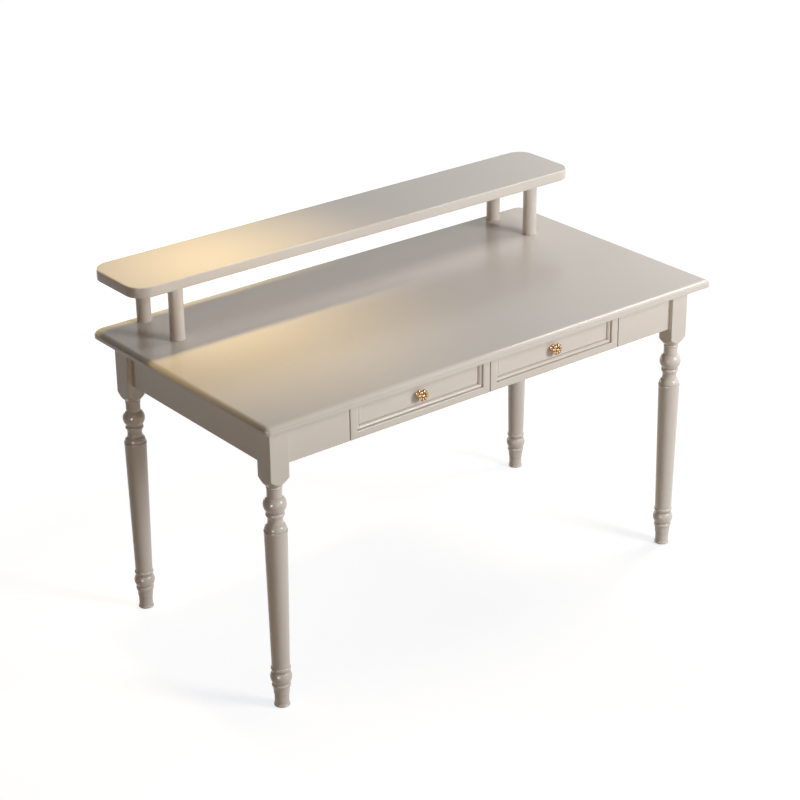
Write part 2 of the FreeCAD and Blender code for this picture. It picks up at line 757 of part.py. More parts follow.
def make_foot_glides():
    body = new_body("foot_glides")
    discs = new_sketch(body, "glide_discs", "XY_Plane")
    draw_circle(discs, leg_x, leg_y, d.glide_radius)
    disc = feature(body, "Pad", "glide_disc", discs, Length=d.glide_thickness)
    nails = new_sketch(body, "glide_nails", "XY_Plane")
    draw_circle(nails, leg_x, leg_y, d.glide_nail_radius)
    nail = feature(body, "Pad", "glide_nail", nails,
                   Length=d.glide_thickness + d.glide_nail_length)
    mirrored(body, "glide_set", [disc, nail], ["YZ_Plane", "XZ_Plane"])
    return body


# ---------------------------------------------------------------- frame boards


def make_side_apron(side):
    low_x = apron_inner_x if SIDES[side] > 0 else -apron_x
    return board(
        f"apron_{side}",
        (d.apron_thickness, inner_block_y * 2, d.apron_height),
        (low_x, -inner_block_y, apron_bottom),
    )


def make_rear_apron():
    return board(
        "apron_rear",
        (inner_block_x * 2, d.apron_thickness, d.apron_height),
        (-inner_block_x, apron_inner_y, apron_bottom),
    )


def make_front_panel(side):
    """Fixed panel between a front leg and the drawer beside it."""
    low_x = divider_x if SIDES[side] > 0 else -inner_block_x
    size = (d.front_panel_width, d.apron_thickness, d.apron_height)
    body = board(f"front_panel_{side}", size, (low_x, -apron_y, apron_bottom))
    free_end = 0 if SIDES[side] > 0 else size[0].number

    def seen_edge(edge):
        box = edge.BoundBox
        at_front = box.YMax < 1e-6
        end_edge = upright(edge) and abs(box.XMin - free_end) < 1e-6
        low_edge = box.ZMax < 1e-6 and box.XLength > 1
        return at_front and (end_edge or low_edge)

    round_edges(body, f"front_panel_{side}_arris", seen_edge, d.front_arris)
    return body


def slide_screw_places():
    """Distances of the slide screws from the front end of a slide."""
    spacing = (d.slide_length - d.slide_screw_inset * 2) / 2
    return [d.slide_screw_inset + spacing * k for k in range(3)]


def drill_for_slide(body, name, face_x, inwards, front_y, centre_z, depth):
    """Pilot holes for one slide in a board face; inwards is the drilling direction."""
    holes = new_sketch(body, name, "YZ_Plane", lift=face_x)
    for distance in slide_screw_places():
        draw_circle(holes, front_y + distance, centre_z, d.slide_screw_radius)
    feature(body, "Pocket", f"{name}_bores", holes, Length=depth, Reversed=inwards > 0)


screw_depth = d.slide_screw_length - d.slide_sheet


def make_side_divider(side):
    """Board behind a fixed panel that carries the outer slide of its drawer."""
    sign = SIDES[side]
    low_x = divider_x if sign > 0 else -divider_x - d.divider_thickness
    body = board(
        f"divider_{side}",
        (d.divider_thickness, apron_inner_y * 2, d.divider_height),
        (low_x, -apron_inner_y, under_top - d.divider_height),
    )
    drill_for_slide(
        body,
        f"divider_{side}_screws",
        0 if sign > 0 else d.divider_thickness,
        sign,
        carcass_front_y + apron_inner_y,
        slide_z - under_top + d.divider_height,
        screw_depth,
    )
    return body


def make_centre_divider():
    """Middle board between the drawers, notched for the front stretcher."""
    body = new_body("divider_centre")
    side_view = new_sketch(body, "divider_centre_side", "YZ_Plane")
    length = apron_inner_y - carcass_front_y
    notch_z = d.divider_height - d.stretcher_thickness
    draw(
        side_view,
        [
            (0, 0),
            (length, 0),
            (length, d.divider_height),
            (d.stretcher_depth, d.divider_height),
            (d.stretcher_depth, notch_z),
            (0, notch_z),
        ],
    )
    feature(body, "Pad", "divider_centre_board", side_view, Length=d.divider_thickness)
    for name, face_x, inwards in (("left", 0, 1), ("right", d.divider_thickness, -1)):
        drill_for_slide(
            body,
            f"divider_centre_{name}_screws",
            face_x,
            inwards,
            0,
            slide_z - under_top + d.divider_height,
            screw_depth,
        )
    place(body, -d.divider_thickness / 2, carcass_front_y, under_top - d.divider_height)
    return body


def make_stretcher():
    return board(
        "front_stretcher",
        (divider_x * 2, d.stretcher_depth, d.stretcher_thickness),
        (-divider_x, carcass_front_y, under_top - d.stretcher_thickness),
    )


# ---------------------------------------------------------------- top brackets


def make_brackets():
    """Angle brackets that hold the top board to the side and rear aprons."""
    body = new_body("top_brackets")
    reach, sheet_t = d.bracket_leg, d.bracket_sheet
    z0 = under_top - reach
    z1 = under_top - sheet_t
    side_view = new_sketch(body, "bracket_side", "XZ_Plane",
                           lift=-d.bracket_inset - d.bracket_width / 2)
    x = apron_inner_x
    draw(
        side_view,
        [
            (x - reach, z1),
            (x - sheet_t, z1),
            (x - sheet_t, z0),
            (x, z0),
            (x, under_top),
            (x - reach, under_top),
        ],
    )
    side = feature(body, "Pad", "bracket_at_side", side_view, Length=d.bracket_width)
    middle = (reach + sheet_t) / 2
    radius = d.bracket_screw_radius + d.bracket_hole_play
    up = new_sketch(body, "bracket_side_up_hole", "XY_Plane", lift=z1)
    draw_circle(up, x - middle, d.bracket_inset, radius)
    up_cut = feature(body, "Pocket", "bracket_side_up_cut", up, Length=sheet_t, Reversed=True)
    level = new_sketch(body, "bracket_side_in_hole", "YZ_Plane", lift=x - sheet_t)
    draw_circle(level, d.bracket_inset, under_top - middle, radius)
    in_cut = feature(body, "Pocket", "bracket_side_in_cut", level, Length=sheet_t,
                     Reversed=True)
    mirrored(body, "bracket_side_set", [side, up_cut, in_cut], ["YZ_Plane", "XZ_Plane"])
    rear_view = new_sketch(body, "bracket_rear", "YZ_Plane",
                           lift=d.bracket_inset - d.bracket_width / 2)
    y = apron_inner_y
    draw(
        rear_view,
        [
            (y - reach, z1),
            (y - sheet_t, z1),
            (y - sheet_t, z0),
            (y, z0),
            (y, under_top),
            (y - reach, under_top),
        ],
    )
    rear = feature(body, "Pad", "bracket_at_rear", rear_view, Length=d.bracket_width)
    up = new_sketch(body, "bracket_rear_up_hole", "XY_Plane", lift=z1)
    draw_circle(up, d.bracket_inset, y - middle, radius)
    up_cut = feature(body, "Pocket", "bracket_rear_up_cut", up, Length=sheet_t, Reversed=True)
    level = new_sketch(body, "bracket_rear_in_hole", "XZ_Plane", lift=sheet_t - y)
    draw_circle(level, d.bracket_inset, under_top - middle, radius)
    in_cut = feature(body, "Pocket", "bracket_rear_in_cut", level, Length=sheet_t)
    mirrored(body, "bracket_rear_set", [rear, up_cut, in_cut], ["YZ_Plane"])
    return body


def make_bracket_screws():
    """Two wood screws in each angle bracket: one up into the top, one into the apron."""
    body = new_body("bracket_screws")
    half = (d.bracket_leg + d.bracket_sheet) / 2
    up_z = under_top - d.bracket_sheet
    level = under_top - half
    inset = d.bracket_inset
    side_x, rear_y = apron_inner_x - d.bracket_sheet, apron_inner_y - d.bracket_sheet
    places = (
        ("side_up", "XY_Plane", up_z, apron_inner_x - half, inset, False, 2),
        ("rear_up", "XY_Plane", up_z, inset, apron_inner_y - half, False, 1),
        ("side_in", "YZ_Plane", side_x, inset, level, False, 2),
        ("rear_in", "XZ_Plane", -rear_y, inset, level, True, 1),
    )
    for name, plane, lift, x, y, flip, mirrors in places:
        made = []
        for part, radius, length, back in (
            ("shank", d.bracket_screw_radius, d.bracket_screw_length, flip),
            ("head", d.bracket_screw_head, d.bracket_screw_head_height, not flip),
        ):
            circle = new_sketch(body, f"{name}_{part}_circle", plane, lift=lift)
            draw_circle(circle, x, y, radius)
            made.append(feature(body, "Pad", f"{name}_{part}", circle, Length=length,
                                Reversed=back))
        mirrored(body, f"{name}_set", made, ["YZ_Plane", "XZ_Plane"][:mirrors])
    return body


# ---------------------------------------------------------------- riser shelf


def make_shelf_board():
    body = new_body("shelf_board")
    outline = new_sketch(body, "shelf_outline", "XY_Plane")
    corner = d.shelf_corner_radius
    draw(outline, rounded(half_shelf, d.shelf_depth / 2, corner, corner))
    feature(body, "Pad", "shelf_plank", outline, Length=d.shelf_thickness)
    round_edges(body, "shelf_edge_round", lambda e: e.BoundBox.ZLength < 1e-6,
                d.shelf_edge_radius)
    holes = new_sketch(body, "shelf_dowel_holes", "XY_Plane")
    for x in (-1, 1):
        for y in (-1, 1):
            draw_circle(holes, x * post_x, y * post_y, d.post_dowel_radius)
    feature(body, "Pocket", "shelf_dowel_bores", holes, Length=d.post_dowel_rise,
            Reversed=True)
    place(body, 0, shelf_y, shelf_bottom)
    return body


def make_post(corner):
    sign_x, sign_y, _ = CORNERS[corner]
    label = f"shelf_post_{corner}"
    body = new_body(label)
    section = new_sketch(body, f"{label}_section", "XY_Plane")
    draw_circle(section, 0, 0, d.post_radius)
    feature(body, "Pad", f"{label}_pad", section, Length=d.shelf_clearance)
    low = new_sketch(body, f"{label}_low_hole", "XY_Plane")
    draw_circle(low, 0, 0, d.post_bolt_radius)
    feature(body, "Pocket", f"{label}_bolt_bore", low, Length=d.post_bolt_grip, Reversed=True)
    high = new_sketch(body, f"{label}_high_hole", "XY_Plane", lift=d.shelf_clearance)
    draw_circle(high, 0, 0, d.post_dowel_radius)
    feature(body, "Pocket", f"{label}_dowel_bore", high, Length=d.post_dowel_grip)
    place(body, sign_x * post_x, shelf_y + sign_y * post_y, d.desk_height)
    return body


def make_post_bolts():
    body = new_body("shelf_post_bolts")
    heads = new_sketch(body, "post_bolt_heads", "XY_Plane")
    draw_circle(heads, post_x, post_y, d.post_bolt_head)
    head = feature(body, "Pad", "post_bolt_head_disc", heads,
                   Length=d.post_bolt_head_height, Reversed=True)
    shanks = new_sketch(body, "post_bolt_shanks", "XY_Plane")
    draw_circle(shanks, post_x, post_y, d.post_bolt_radius)
    shank = feature(body, "Pad", "post_bolt_shank", shanks,
                    Length=d.top_thickness + d.post_bolt_grip)
    mirrored(body, "post_bolt_set", [head, shank], ["YZ_Plane", "XZ_Plane"])
    place(body, 0, shelf_y, under_top)
    return body


def make_post_dowels():
    body = new_body("shelf_post_dowels")
    section = new_sketch(body, "post_dowel_section", "XY_Plane")
    draw_circle(section, post_x, post_y, d.post_dowel_radius)
    dowel = feature(body, "Pad", "post_dowel", section,
                    Length=d.post_dowel_grip + d.post_dowel_rise)
    mirrored(body, "post_dowel_set", [dowel], ["YZ_Plane", "XZ_Plane"])
    place(body, 0, shelf_y, shelf_bottom - d.post_dowel_grip)
    return body


# ---------------------------------------------------------------- drawer slides

outer_half = d.slide_height / 2
middle_half = outer_half - d.slide_sheet - d.slide_ball
inner_half = middle_half - d.slide_sheet - d.slide_ball
middle_web_x = d.slide_sheet + d.slide_side_play
inner_web_x = d.slide_space - d.slide_sheet
inner_reach_x = middle_web_x + d.slide_sheet + d.slide_side_play
outer_reach_x = inner_web_x - d.slide_side_play / 2


def channel(web_x, reach_x, half, towards, lip=None):
    """Section of a folded channel, from its web towards (+1 or -1) its open side."""
    steel = d.slide_sheet
    inner_x = web_x + towards * steel
    lip_x = reach_x - towards * steel
    upper = [(inner_x, half - steel), (reach_x, half - steel)]
    if lip:
        turned_in = half - steel - lip
        upper = [upper[0], (lip_x, half - steel), (lip_x, turned_in), (reach_x, turned_in)]
    upper += [(reach_x, half), (web_x, half)]
    lower = [(x, -z) for x, z in reversed(upper)]
    return lower + upper


def make_slide_member(label, section, length, holes_at, opening):
    """One rolled member; opening is (sign, wall face x) of the slide it belongs to."""
    sign, wall_x, front_y = opening
    body = new_body(label)
    profile = new_sketch(body, f"{label}_section", "XZ_Plane")
    draw(profile, section)
    feature(body, "Pad", f"{label}_bar", profile, Length=length, Reversed=True)
    if holes_at is not None:
        holes = new_sketch(body, f"{label}_holes", "YZ_Plane", lift=holes_at)
        for distance in slide_screw_places():
            draw_circle(holes, distance, 0, d.slide_screw_radius)
        feature(body, "Pocket", f"{label}_bores", holes, Length=d.slide_sheet, Reversed=True)
    if sign > 0:
        place(body, wall_x, front_y, slide_z)
    else:
        place(body, wall_x, front_y + length, slide_z, Rotation(Vector(0, 0, 1), 180))
    return body


def drawer_walls(drawer):
    """The two walls beside a drawer: (name, face x, direction towards the drawer)."""
    outer, inner = divider_x, d.divider_thickness / 2
    if drawer == "left":
        return [("left", -outer, 1), ("right", -inner, -1)]
    return [("left", inner, 1), ("right", outer, -1)]


def make_slides(drawer):
    members = []
    shorter = d.slide_middle_shorter
    for name, wall_x, sign in drawer_walls(drawer):
        label = f"{drawer}_drawer_slide_{name}"
        front = (sign, wall_x, carcass_front_y)
        behind = (sign, wall_x, carcass_front_y + shorter / 2)
        members.append(make_slide_member(
            f"{label}_outer",
            channel(0, outer_reach_x, outer_half, 1, d.slide_lip),
            d.slide_length, 0, front))
        members.append(make_slide_member(
            f"{label}_middle",
            channel(middle_web_x, outer_reach_x, middle_half, 1),
            d.slide_length - shorter, None, behind))
        members.append(make_slide_member(
            f"{label}_inner",
            channel(d.slide_space, inner_reach_x, inner_half, -1),
            d.slide_length, inner_web_x, front))
    return members


def screw_row(body, name, face_x, inwards):
    """Three slide screws: heads proud of face_x, shanks running inwards from it."""
    made = []
    for part, radius, length, way in (
        ("shank", d.slide_screw_radius, d.slide_screw_length, inwards),
        ("head", d.slide_screw_head, d.slide_screw_head_height, -inwards),
    ):
        circles = new_sketch(body, f"{name}_{part}_circles", "YZ_Plane", lift=face_x)
        for distance in slide_screw_places():
            draw_circle(circles, distance, 0, radius)
        made.append(feature(body, "Pad", f"{name}_{part}s", circles, Length=length,
                            Reversed=way < 0))
    return made


def make_frame_slide_screws():
    """Screws of all outer members, drawn for the left drawer and mirrored."""
    body = new_body("slide_screws_frame")
    rows = []
    for name, wall_x, sign in drawer_walls("left"):
        rows += screw_row(body, f"frame_{name}", wall_x + sign * d.slide_sheet, -sign)
    mirrored(body, "frame_screw_set", rows, ["YZ_Plane"])
    place(body, 0, carcass_front_y, slide_z)
    return body


def make_drawer_slide_screws(drawer):
    body = new_body(f"{drawer}_drawer_slide_screws")
    for name, wall_x, sign in drawer_walls(drawer):
        screw_row(body, f"{drawer}_{name}", wall_x + sign * inner_web_x, sign)
    place(body, 0, carcass_front_y, slide_z)
    return body


# ---------------------------------------------------------------- drawers

box_width = box_outer_left - box_outer_right
inside_width = box_width - d.box_side_thickness * 2


def drawer_span(drawer):
    """Low x of the front, low x of the box and x of the knob."""
    if drawer == "left":
        return -drawer_outer_x, -box_outer_left, -knob_x
    return drawer_inner_x, box_outer_right, knob_x


def make_drawer_front(drawer):
    """Front with a sunk field framed by a cove, a bead and a bevel."""
    label = f"{drawer}_drawer_front"
    front_x = drawer_span(drawer)[0]
    width, height = drawer_front_width, drawer_height
    body = new_body(label)
    slab = new_sketch(body, f"{label}_slab", "XZ_Plane")
    draw(slab, rectangle(0, 0, width, height))
    feature(body, "Pad", f"{label}_board", slab, Length=d.drawer_front_thickness,
            Reversed=True)
    round_edges(body, f"{label}_arris", lambda e: e.BoundBox.YMax < 1e-6, d.front_arris)

    stile, rail = d.drawer_stile, d.drawer_rail
    path = new_sketch(body, f"{label}_moulding_path", "XZ_Plane")
    draw(
        path,
        [
            (width / 2, rail),
            (width - stile, rail),
            (width - stile, height - rail),
            (stile, height - rail),
            (stile, rail),
        ],
    )
    cove = d.recess_cove_radius
    ledge = d.recess_step + cove
    bead_end = rail + cove + d.recess_bead_width
    inner_edge = rail + d.recess_moulding_width
    profile = new_sketch(body, f"{label}_moulding_profile", "YZ_Plane", lift=width / 2)
    draw(
        profile,
        [
            (-OVERRUN, rail),
            (d.recess_step, rail),
            (ledge, rail + cove, cove, 1),
            (ledge, bead_end, d.recess_bead_radius, -1),
            ((ledge + d.recess_depth) / 2, bead_end),
            (d.recess_depth, inner_edge),
            (-OVERRUN, inner_edge),
        ],
    )
    moulding = body.newObject("PartDesign::SubtractivePipe", f"{label}_moulding")
    moulding.Profile = profile
    moulding.Spine = (path, [f"Edge{k}" for k in range(1, 6)])
    moulding.Transition = "Right corner"
    field = new_sketch(body, f"{label}_field", "XZ_Plane")
    side = stile + d.recess_moulding_width
    draw(field, rectangle(side, inner_edge, width - side, height - inner_edge))
    feature(body, "Pocket", f"{label}_sunk_field", field, Length=d.recess_depth)

    groove = new_sketch(body, f"{label}_groove", "XZ_Plane", lift=-d.drawer_front_thickness)
    groove_x = drawer_span(drawer)[1] + d.box_side_thickness - d.groove_depth - front_x
    groove_z = box_bottom + d.box_bottom_lift - apron_bottom
    draw(
        groove,
        rectangle(
            groove_x,
            groove_z,
            groove_x + inside_width + d.groove_depth * 2,
            groove_z + d.box_bottom_thickness + d.groove_play,
        ),
    )
    feature(body, "Pocket", f"{label}_bottom_groove", groove, Length=d.groove_depth,
            Reversed=True)
    hole = new_sketch(body, f"{label}_knob_hole", "XZ_Plane")
    draw_circle(hole, width / 2, height / 2, d.knob_screw_radius + d.knob_screw_play)
    feature(body, "Pocket", f"{label}_knob_bore", hole, Length=d.drawer_front_thickness)
    place(body, front_x, -apron_y, apron_bottom)
    return body


def make_drawer_side(drawer, name, wall_x, sign):
    """Side board, grooved for the bottom and drilled for the inner slide member."""
    label = f"{drawer}_drawer_side_{name}"
    thick = d.box_side_thickness
    outer_x = wall_x + sign * d.slide_space
    low_x = outer_x if sign > 0 else outer_x - thick
    body = board(label, (thick, d.box_length, d.box_side_height),
                 (low_x, drawer_back_y, box_bottom))
    inside_x = thick if sign > 0 else as_size(0)
    groove = new_sketch(body, f"{label}_groove", "YZ_Plane", lift=inside_x)
    draw(
        groove,
        rectangle(
            0,
            d.box_bottom_lift,
            d.box_length,
            d.box_bottom_lift + d.box_bottom_thickness + d.groove_play,
        ),
    )
    feature(body, "Pocket", f"{label}_bottom_groove", groove, Length=d.groove_depth,
            Reversed=sign < 0)
    drill_for_slide(
        body,
        f"{label}_screws",
        0 if sign > 0 else thick,
        sign,
        d.stretcher_setback,
        slide_z - box_bottom,
        screw_depth,
    )
    return body


def make_drawer_back(drawer):
    low_x = drawer_span(drawer)[1] + d.box_side_thickness
    lift = d.box_bottom_lift + d.box_bottom_thickness
    return board(
        f"{drawer}_drawer_back",
        (inside_width, d.box_side_thickness, d.box_side_height - lift),
        (low_x, drawer_back_y + d.box_length - d.box_side_thickness, box_bottom + lift),
    )


def make_drawer_bottom(drawer):
    """Thin panel that slides into the grooves from behind, under the back."""
    tongue = d.groove_depth - d.groove_play
    low_x = drawer_span(drawer)[1] + d.box_side_thickness - tongue
    return board(
        f"{drawer}_drawer_bottom",
        (inside_width + tongue * 2, d.box_length + tongue, d.box_bottom_thickness),
        (low_x, drawer_back_y - tongue, box_bottom + d.box_bottom_lift),
    )


def make_knob(drawer):
    """Cast knob: rosette, waisted stem and a flower of round petals with a button."""
    label = f"{drawer}_knob"
    body = new_body(label)
    base_z = d.knob_base_height
    plate_z = base_z + d.knob_stem_height
    back_z = plate_z + d.knob_core_back
    face_z = back_z + d.knob_core_rim
    button_z = face_z + d.knob_button_height
    stem, core, button = d.knob_stem_radius, d.knob_core_radius, d.knob_button_radius
    outline = new_sketch(body, f"{label}_outline", "XZ_Plane")
    draw(
        outline,
        [
            (0, 0),
            (d.knob_base_radius, 0),
            (d.knob_base_radius, d.knob_base_edge),
            (stem + d.knob_stem_flare, base_z),
            (stem, plate_z, d.knob_stem_curve, -1),
            (core, back_z),
            (core, face_z),
            (button, face_z),
            (button, button_z - d.knob_button_slope),
            (button - d.knob_button_slope, button_z),
            (0, button_z),
        ],
    )
    turn_solid(body, f"{label}_turned", outline)

    # A quarter of a petal off the X axis, where the turned solid has its seam.
    off_seam = math.pi / d.knob_petals.number / 2
    reach, radius, slope = d.knob_petal_reach, d.knob_petal_radius, d.knob_petal_slope
    low_z, high_z = back_z - d.knob_petal_depth / 2, back_z + d.knob_petal_depth / 2
    bead = new_sketch(body, f"{label}_petal_outline", "XZ_Plane",
                      along=reach * math.cos(off_seam), lift=reach * math.sin(off_seam))
    draw(
        bead,
        [
            (0, low_z),
            (radius - slope, low_z),
            (radius, low_z + slope),
            (radius, high_z - slope),
            (radius - slope, high_z),
            (0, high_z),
        ],
    )
    petal = turn_solid(body, f"{label}_petal", bead)
    petals = body.newObject("PartDesign::PolarPattern", f"{label}_petals")
    petals.Originals = [petal]
    petals.Axis = (origin_part(body, "Z_Axis"), [""])
    petals.Angle = 360
    petals.setExpression("Occurrences", d.knob_petals.text)
    body.Tip = petals
    hole = new_sketch(body, f"{label}_screw_hole", "XY_Plane")
    draw_circle(hole, 0, 0, d.knob_screw_radius)
    feature(body, "Pocket", f"{label}_screw_bore", hole, Length=d.knob_screw_grip,
            Reversed=True)
    place(body, drawer_span(drawer)[2], field_y, knob_z, Rotation(Vector(1, 0, 0), 90))
    return body


def make_knob_screw(drawer):
    label = f"{drawer}_knob_screw"
    body = new_body(label)
    shank = new_sketch(body, f"{label}_shank", "XZ_Plane")
    draw_circle(shank, 0, 0, d.knob_screw_radius)
    feature(body, "Pad", f"{label}_bar", shank,
            Length=d.drawer_front_thickness - d.recess_depth + d.knob_screw_grip)
    head = new_sketch(body, f"{label}_head", "XZ_Plane")
    draw_circle(head, 0, 0, d.knob_screw_head)
    feature(body, "Pad", f"{label}_disc", head, Length=d.knob_screw_head_height, Reversed=True)
    place(body, drawer_span(drawer)[2], drawer_back_y, knob_z)
    return body


def make_drawer(drawer):
    made = [make_drawer_front(drawer)]
    for name, wall_x, sign in drawer_walls(drawer):
        made.append(make_drawer_side(drawer, name, wall_x, sign))
    made.append(make_drawer_back(drawer))
    made.append(make_drawer_bottom(drawer))
    made.append(make_knob(drawer))
    made.append(make_knob_screw(drawer))
    made.append(make_drawer_slide_screws(drawer))
    return made


# ---------------------------------------------------------------- output

parts = [make_desk_top(), make_rear_apron(), make_centre_divider(), make_stretcher()]
for side in SIDES:
    parts.append(make_side_apron(side))
    parts.append(make_front_panel(side))
    parts.append(make_side_divider(side))
for corner in CORNERS:
    parts.append(make_leg(corner))
    parts.append(make_brace(corner))
    parts.append(make_post(corner))
parts += [make_leg_bolts(), make_leg_nuts(), make_brace_screws(), make_foot_glides()]
parts += [make_brackets(), make_bracket_screws()]
parts += [make_shelf_board(), make_post_bolts(), make_post_dowels()]
parts.append(make_frame_slide_screws())
for drawer in SIDES:
    parts += make_slides(drawer)
    parts += make_drawer(drawer)
doc.recompute()

for item in doc.Objects:
    faults = [word for word in item.State if word in ("Invalid", "Error")]
    if faults:
        raise RuntimeError(f"{item.Label}: {faults}")

os.makedirs("parts", exist_ok=True)
for part in parts:
    shape = part.Shape
    if shape.isNull() or not shape.isValid():
        raise RuntimeError(f"{part.Label}: bad shape")
    shape.exportStep(f"parts/{part.Label}.step")
    print(part.Label, round(shape.Volume), len(shape.Solids), len(shape.Faces))
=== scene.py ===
"""Looks of the painted writing desk: finer meshes, finishes, light and the camera.

The turned, rounded and moulded pieces and the knobs are made again here as finer meshes,
each in the place of its CAD node. Every other node stays as it is and gets a finish.
Lengths are in metres.
"""

import math

import bmesh
import bpy
from mathutils import Matrix, Vector


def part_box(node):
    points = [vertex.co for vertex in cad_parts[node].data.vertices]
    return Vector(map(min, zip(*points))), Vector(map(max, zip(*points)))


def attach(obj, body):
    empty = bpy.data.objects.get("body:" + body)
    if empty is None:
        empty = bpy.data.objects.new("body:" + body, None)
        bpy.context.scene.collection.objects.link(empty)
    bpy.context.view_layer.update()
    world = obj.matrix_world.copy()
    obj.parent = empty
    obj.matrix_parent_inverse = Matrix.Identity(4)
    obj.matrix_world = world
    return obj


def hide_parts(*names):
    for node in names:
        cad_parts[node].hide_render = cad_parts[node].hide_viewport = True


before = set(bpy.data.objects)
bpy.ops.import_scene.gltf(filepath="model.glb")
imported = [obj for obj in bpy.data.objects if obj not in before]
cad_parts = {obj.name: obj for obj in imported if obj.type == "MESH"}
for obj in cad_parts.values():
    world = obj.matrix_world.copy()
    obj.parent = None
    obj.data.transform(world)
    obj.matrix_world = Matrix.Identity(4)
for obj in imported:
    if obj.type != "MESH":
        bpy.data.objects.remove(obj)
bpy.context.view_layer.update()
MM = 0.001

# ---------------------------------------------------------------- camera
# Angles in degrees, sensor and lens in millimetres. Azimuth 0 looks along +Y.

CAMERA_AT = (-3.0105, -3.7656, 2.7234)
AZIMUTH = -38.373
ELEVATION = 24.836
ROLL = -0.557
SENSOR = 36.0
LENS = 96.357
FARTHEST = 100.0


def make_camera():
    """Camera that looks down at the desk from beyond its front left corner."""
    azimuth, elevation, roll = (math.radians(v) for v in (AZIMUTH, ELEVATION, ROLL))
    back = Vector((math.sin(azimuth) * math.cos(elevation),
                   -math.cos(azimuth) * math.cos(elevation),
                   math.sin(elevation)))
    level = Vector((math.cos(azimuth), math.sin(azimuth), 0.0))
    up = back.cross(level)
    right = level * math.cos(roll) + up * math.sin(roll)
    true_up = up * math.cos(roll) - level * math.sin(roll)
    data = bpy.data.cameras.new("camera")
    data.sensor_width = SENSOR
    data.lens = LENS
    data.clip_end = FARTHEST
    camera = bpy.data.objects.new("camera", data)
    turn = Matrix((right, true_up, back)).transposed().to_4x4()
    camera.matrix_world = Matrix.Translation(CAMERA_AT) @ turn
    bpy.context.scene.collection.objects.link(camera)
    bpy.context.scene.camera = camera


# ---------------------------------------------------------------- colours and nodes


def rgb(red, green, blue):
    """Linear colour from display values of 0 to 255."""
    def linear(value):
        value /= 255.0
        return value / 12.92 if value <= 0.04045 else ((value + 0.055) / 1.055) ** 2.4
    return (linear(red), linear(green), linear(blue), 1.0)


def shade(colour, share):
    """The colour at a share of its strength."""
    return tuple(c * share for c in colour[:3]) + (1.0,)


def named(node, key):
    """Input socket of a node, from its name in lower case with underscores."""
    return next(s for s in node.inputs if s.name.lower().replace(" ", "_") == key)


WHITE = (1.0, 1.0, 1.0, 1.0)

# Sockets of a Mix node that is set to colour.
MIX_FIRST = 6
MIX_SECOND = 7
MIX_RESULT = 2


class Nodes:
    """Short way to wire a node tree."""

    def __init__(self, tree):
        self.tree = tree

    def add(self, kind, **settings):
        """New shader node with its settings."""
        node = self.tree.nodes.new("ShaderNode" + kind)
        for key, value in settings.items():
            setattr(node, key, value)
        return node

    def put(self, socket, value):
        """Feed an input from another node's output, or set it to a plain value."""
        if isinstance(value, bpy.types.NodeSocket):
            self.tree.links.new(value, socket)
        else:
            socket.default_value = value

    def combine(self, operation, first, second):
        """Result of one Math operation."""
        node = self.add("Math", operation=operation)
        self.put(node.inputs[0], first)
        self.put(node.inputs[1], second)
        return node.outputs["Value"]

    def seen(self):
        """1 for what the camera sees, straight or by gloss or glass; 0 for diffuse light."""
        rays = self.add("LightPath")
        result = rays.outputs["Is Camera Ray"]
        for kind in ("Is Glossy Ray", "Is Transmission Ray"):
            result = self.combine("MAXIMUM", result, rays.outputs[kind])
        return result


class Finish(Nodes):
    """Material about one Principled shader, in the coordinates of the object."""

    def __init__(self, name):
        self.material = bpy.data.materials.new(name)
        self.material.use_nodes = True
        super().__init__(self.material.node_tree)
        self.shader = self.tree.nodes["Principled BSDF"]
        self.output = self.tree.nodes["Material Output"]
        self.place = self.add("TexCoord").outputs["Object"]

    def set(self, **values):
        """Set or feed sockets of the shader, by name with underscores."""
        for key, value in values.items():
            self.put(named(self.shader, key), value)

    def stretched(self, along, lengthwise, across):
        """Coordinates scaled by one number along an axis and by another across it."""
        mapping = self.add("Mapping")
        self.put(mapping.inputs["Vector"], self.place)
        scale = [lengthwise if axis == along else across for axis in "xyz"]
        self.put(mapping.inputs["Scale"], scale)
        return mapping.outputs["Vector"]

    def noise(self, scale, detail, place=None):
        """Cloudy pattern about 0.5."""
        node = self.add("TexNoise")
        self.put(node.inputs["Vector"], place or self.place)
        self.put(node.inputs["Scale"], scale)
        self.put(node.inputs["Detail"], detail)
        return node.outputs["Fac"]

    def span(self, value, low, high, to_low=0.0, to_high=1.0):
        """Map value from low..high to to_low..to_high, clamped."""
        node = self.add("MapRange")
        self.put(node.inputs["Value"], value)
        self.put(node.inputs["From Min"], low)
        self.put(node.inputs["From Max"], high)
        self.put(node.inputs["To Min"], to_low)
        self.put(node.inputs["To Max"], to_high)
        return node.outputs["Result"]

    def mix(self, factor, first, second):
        """Blend two colours; factor 0 gives the first."""
        node = self.add("Mix", data_type="RGBA")
        self.put(node.inputs["Factor"], factor)
        self.put(node.inputs[MIX_FIRST], first)
        self.put(node.inputs[MIX_SECOND], second)
        return node.outputs[MIX_RESULT]

    def curvature(self):
        """Below 0.5 in hollows and above it on arrises, from the mesh itself."""
        return self.add("NewGeometry").outputs["Pointiness"]

    def bump(self, height, depth, strength):
        """Relief of a height from 0 to 1, with its real depth."""
        node = self.add("Bump")
        self.put(node.inputs["Height"], height)
        self.put(node.inputs["Distance"], depth)
        self.put(node.inputs["Strength"], strength)
        self.put(self.shader.inputs["Normal"], node.outputs["Normal"])


# ---------------------------------------------------------------- finishes
# A noise's scale is in features per metre. Where its coordinates are stretched the scale
# is 1, and the stretch sets the size instead.

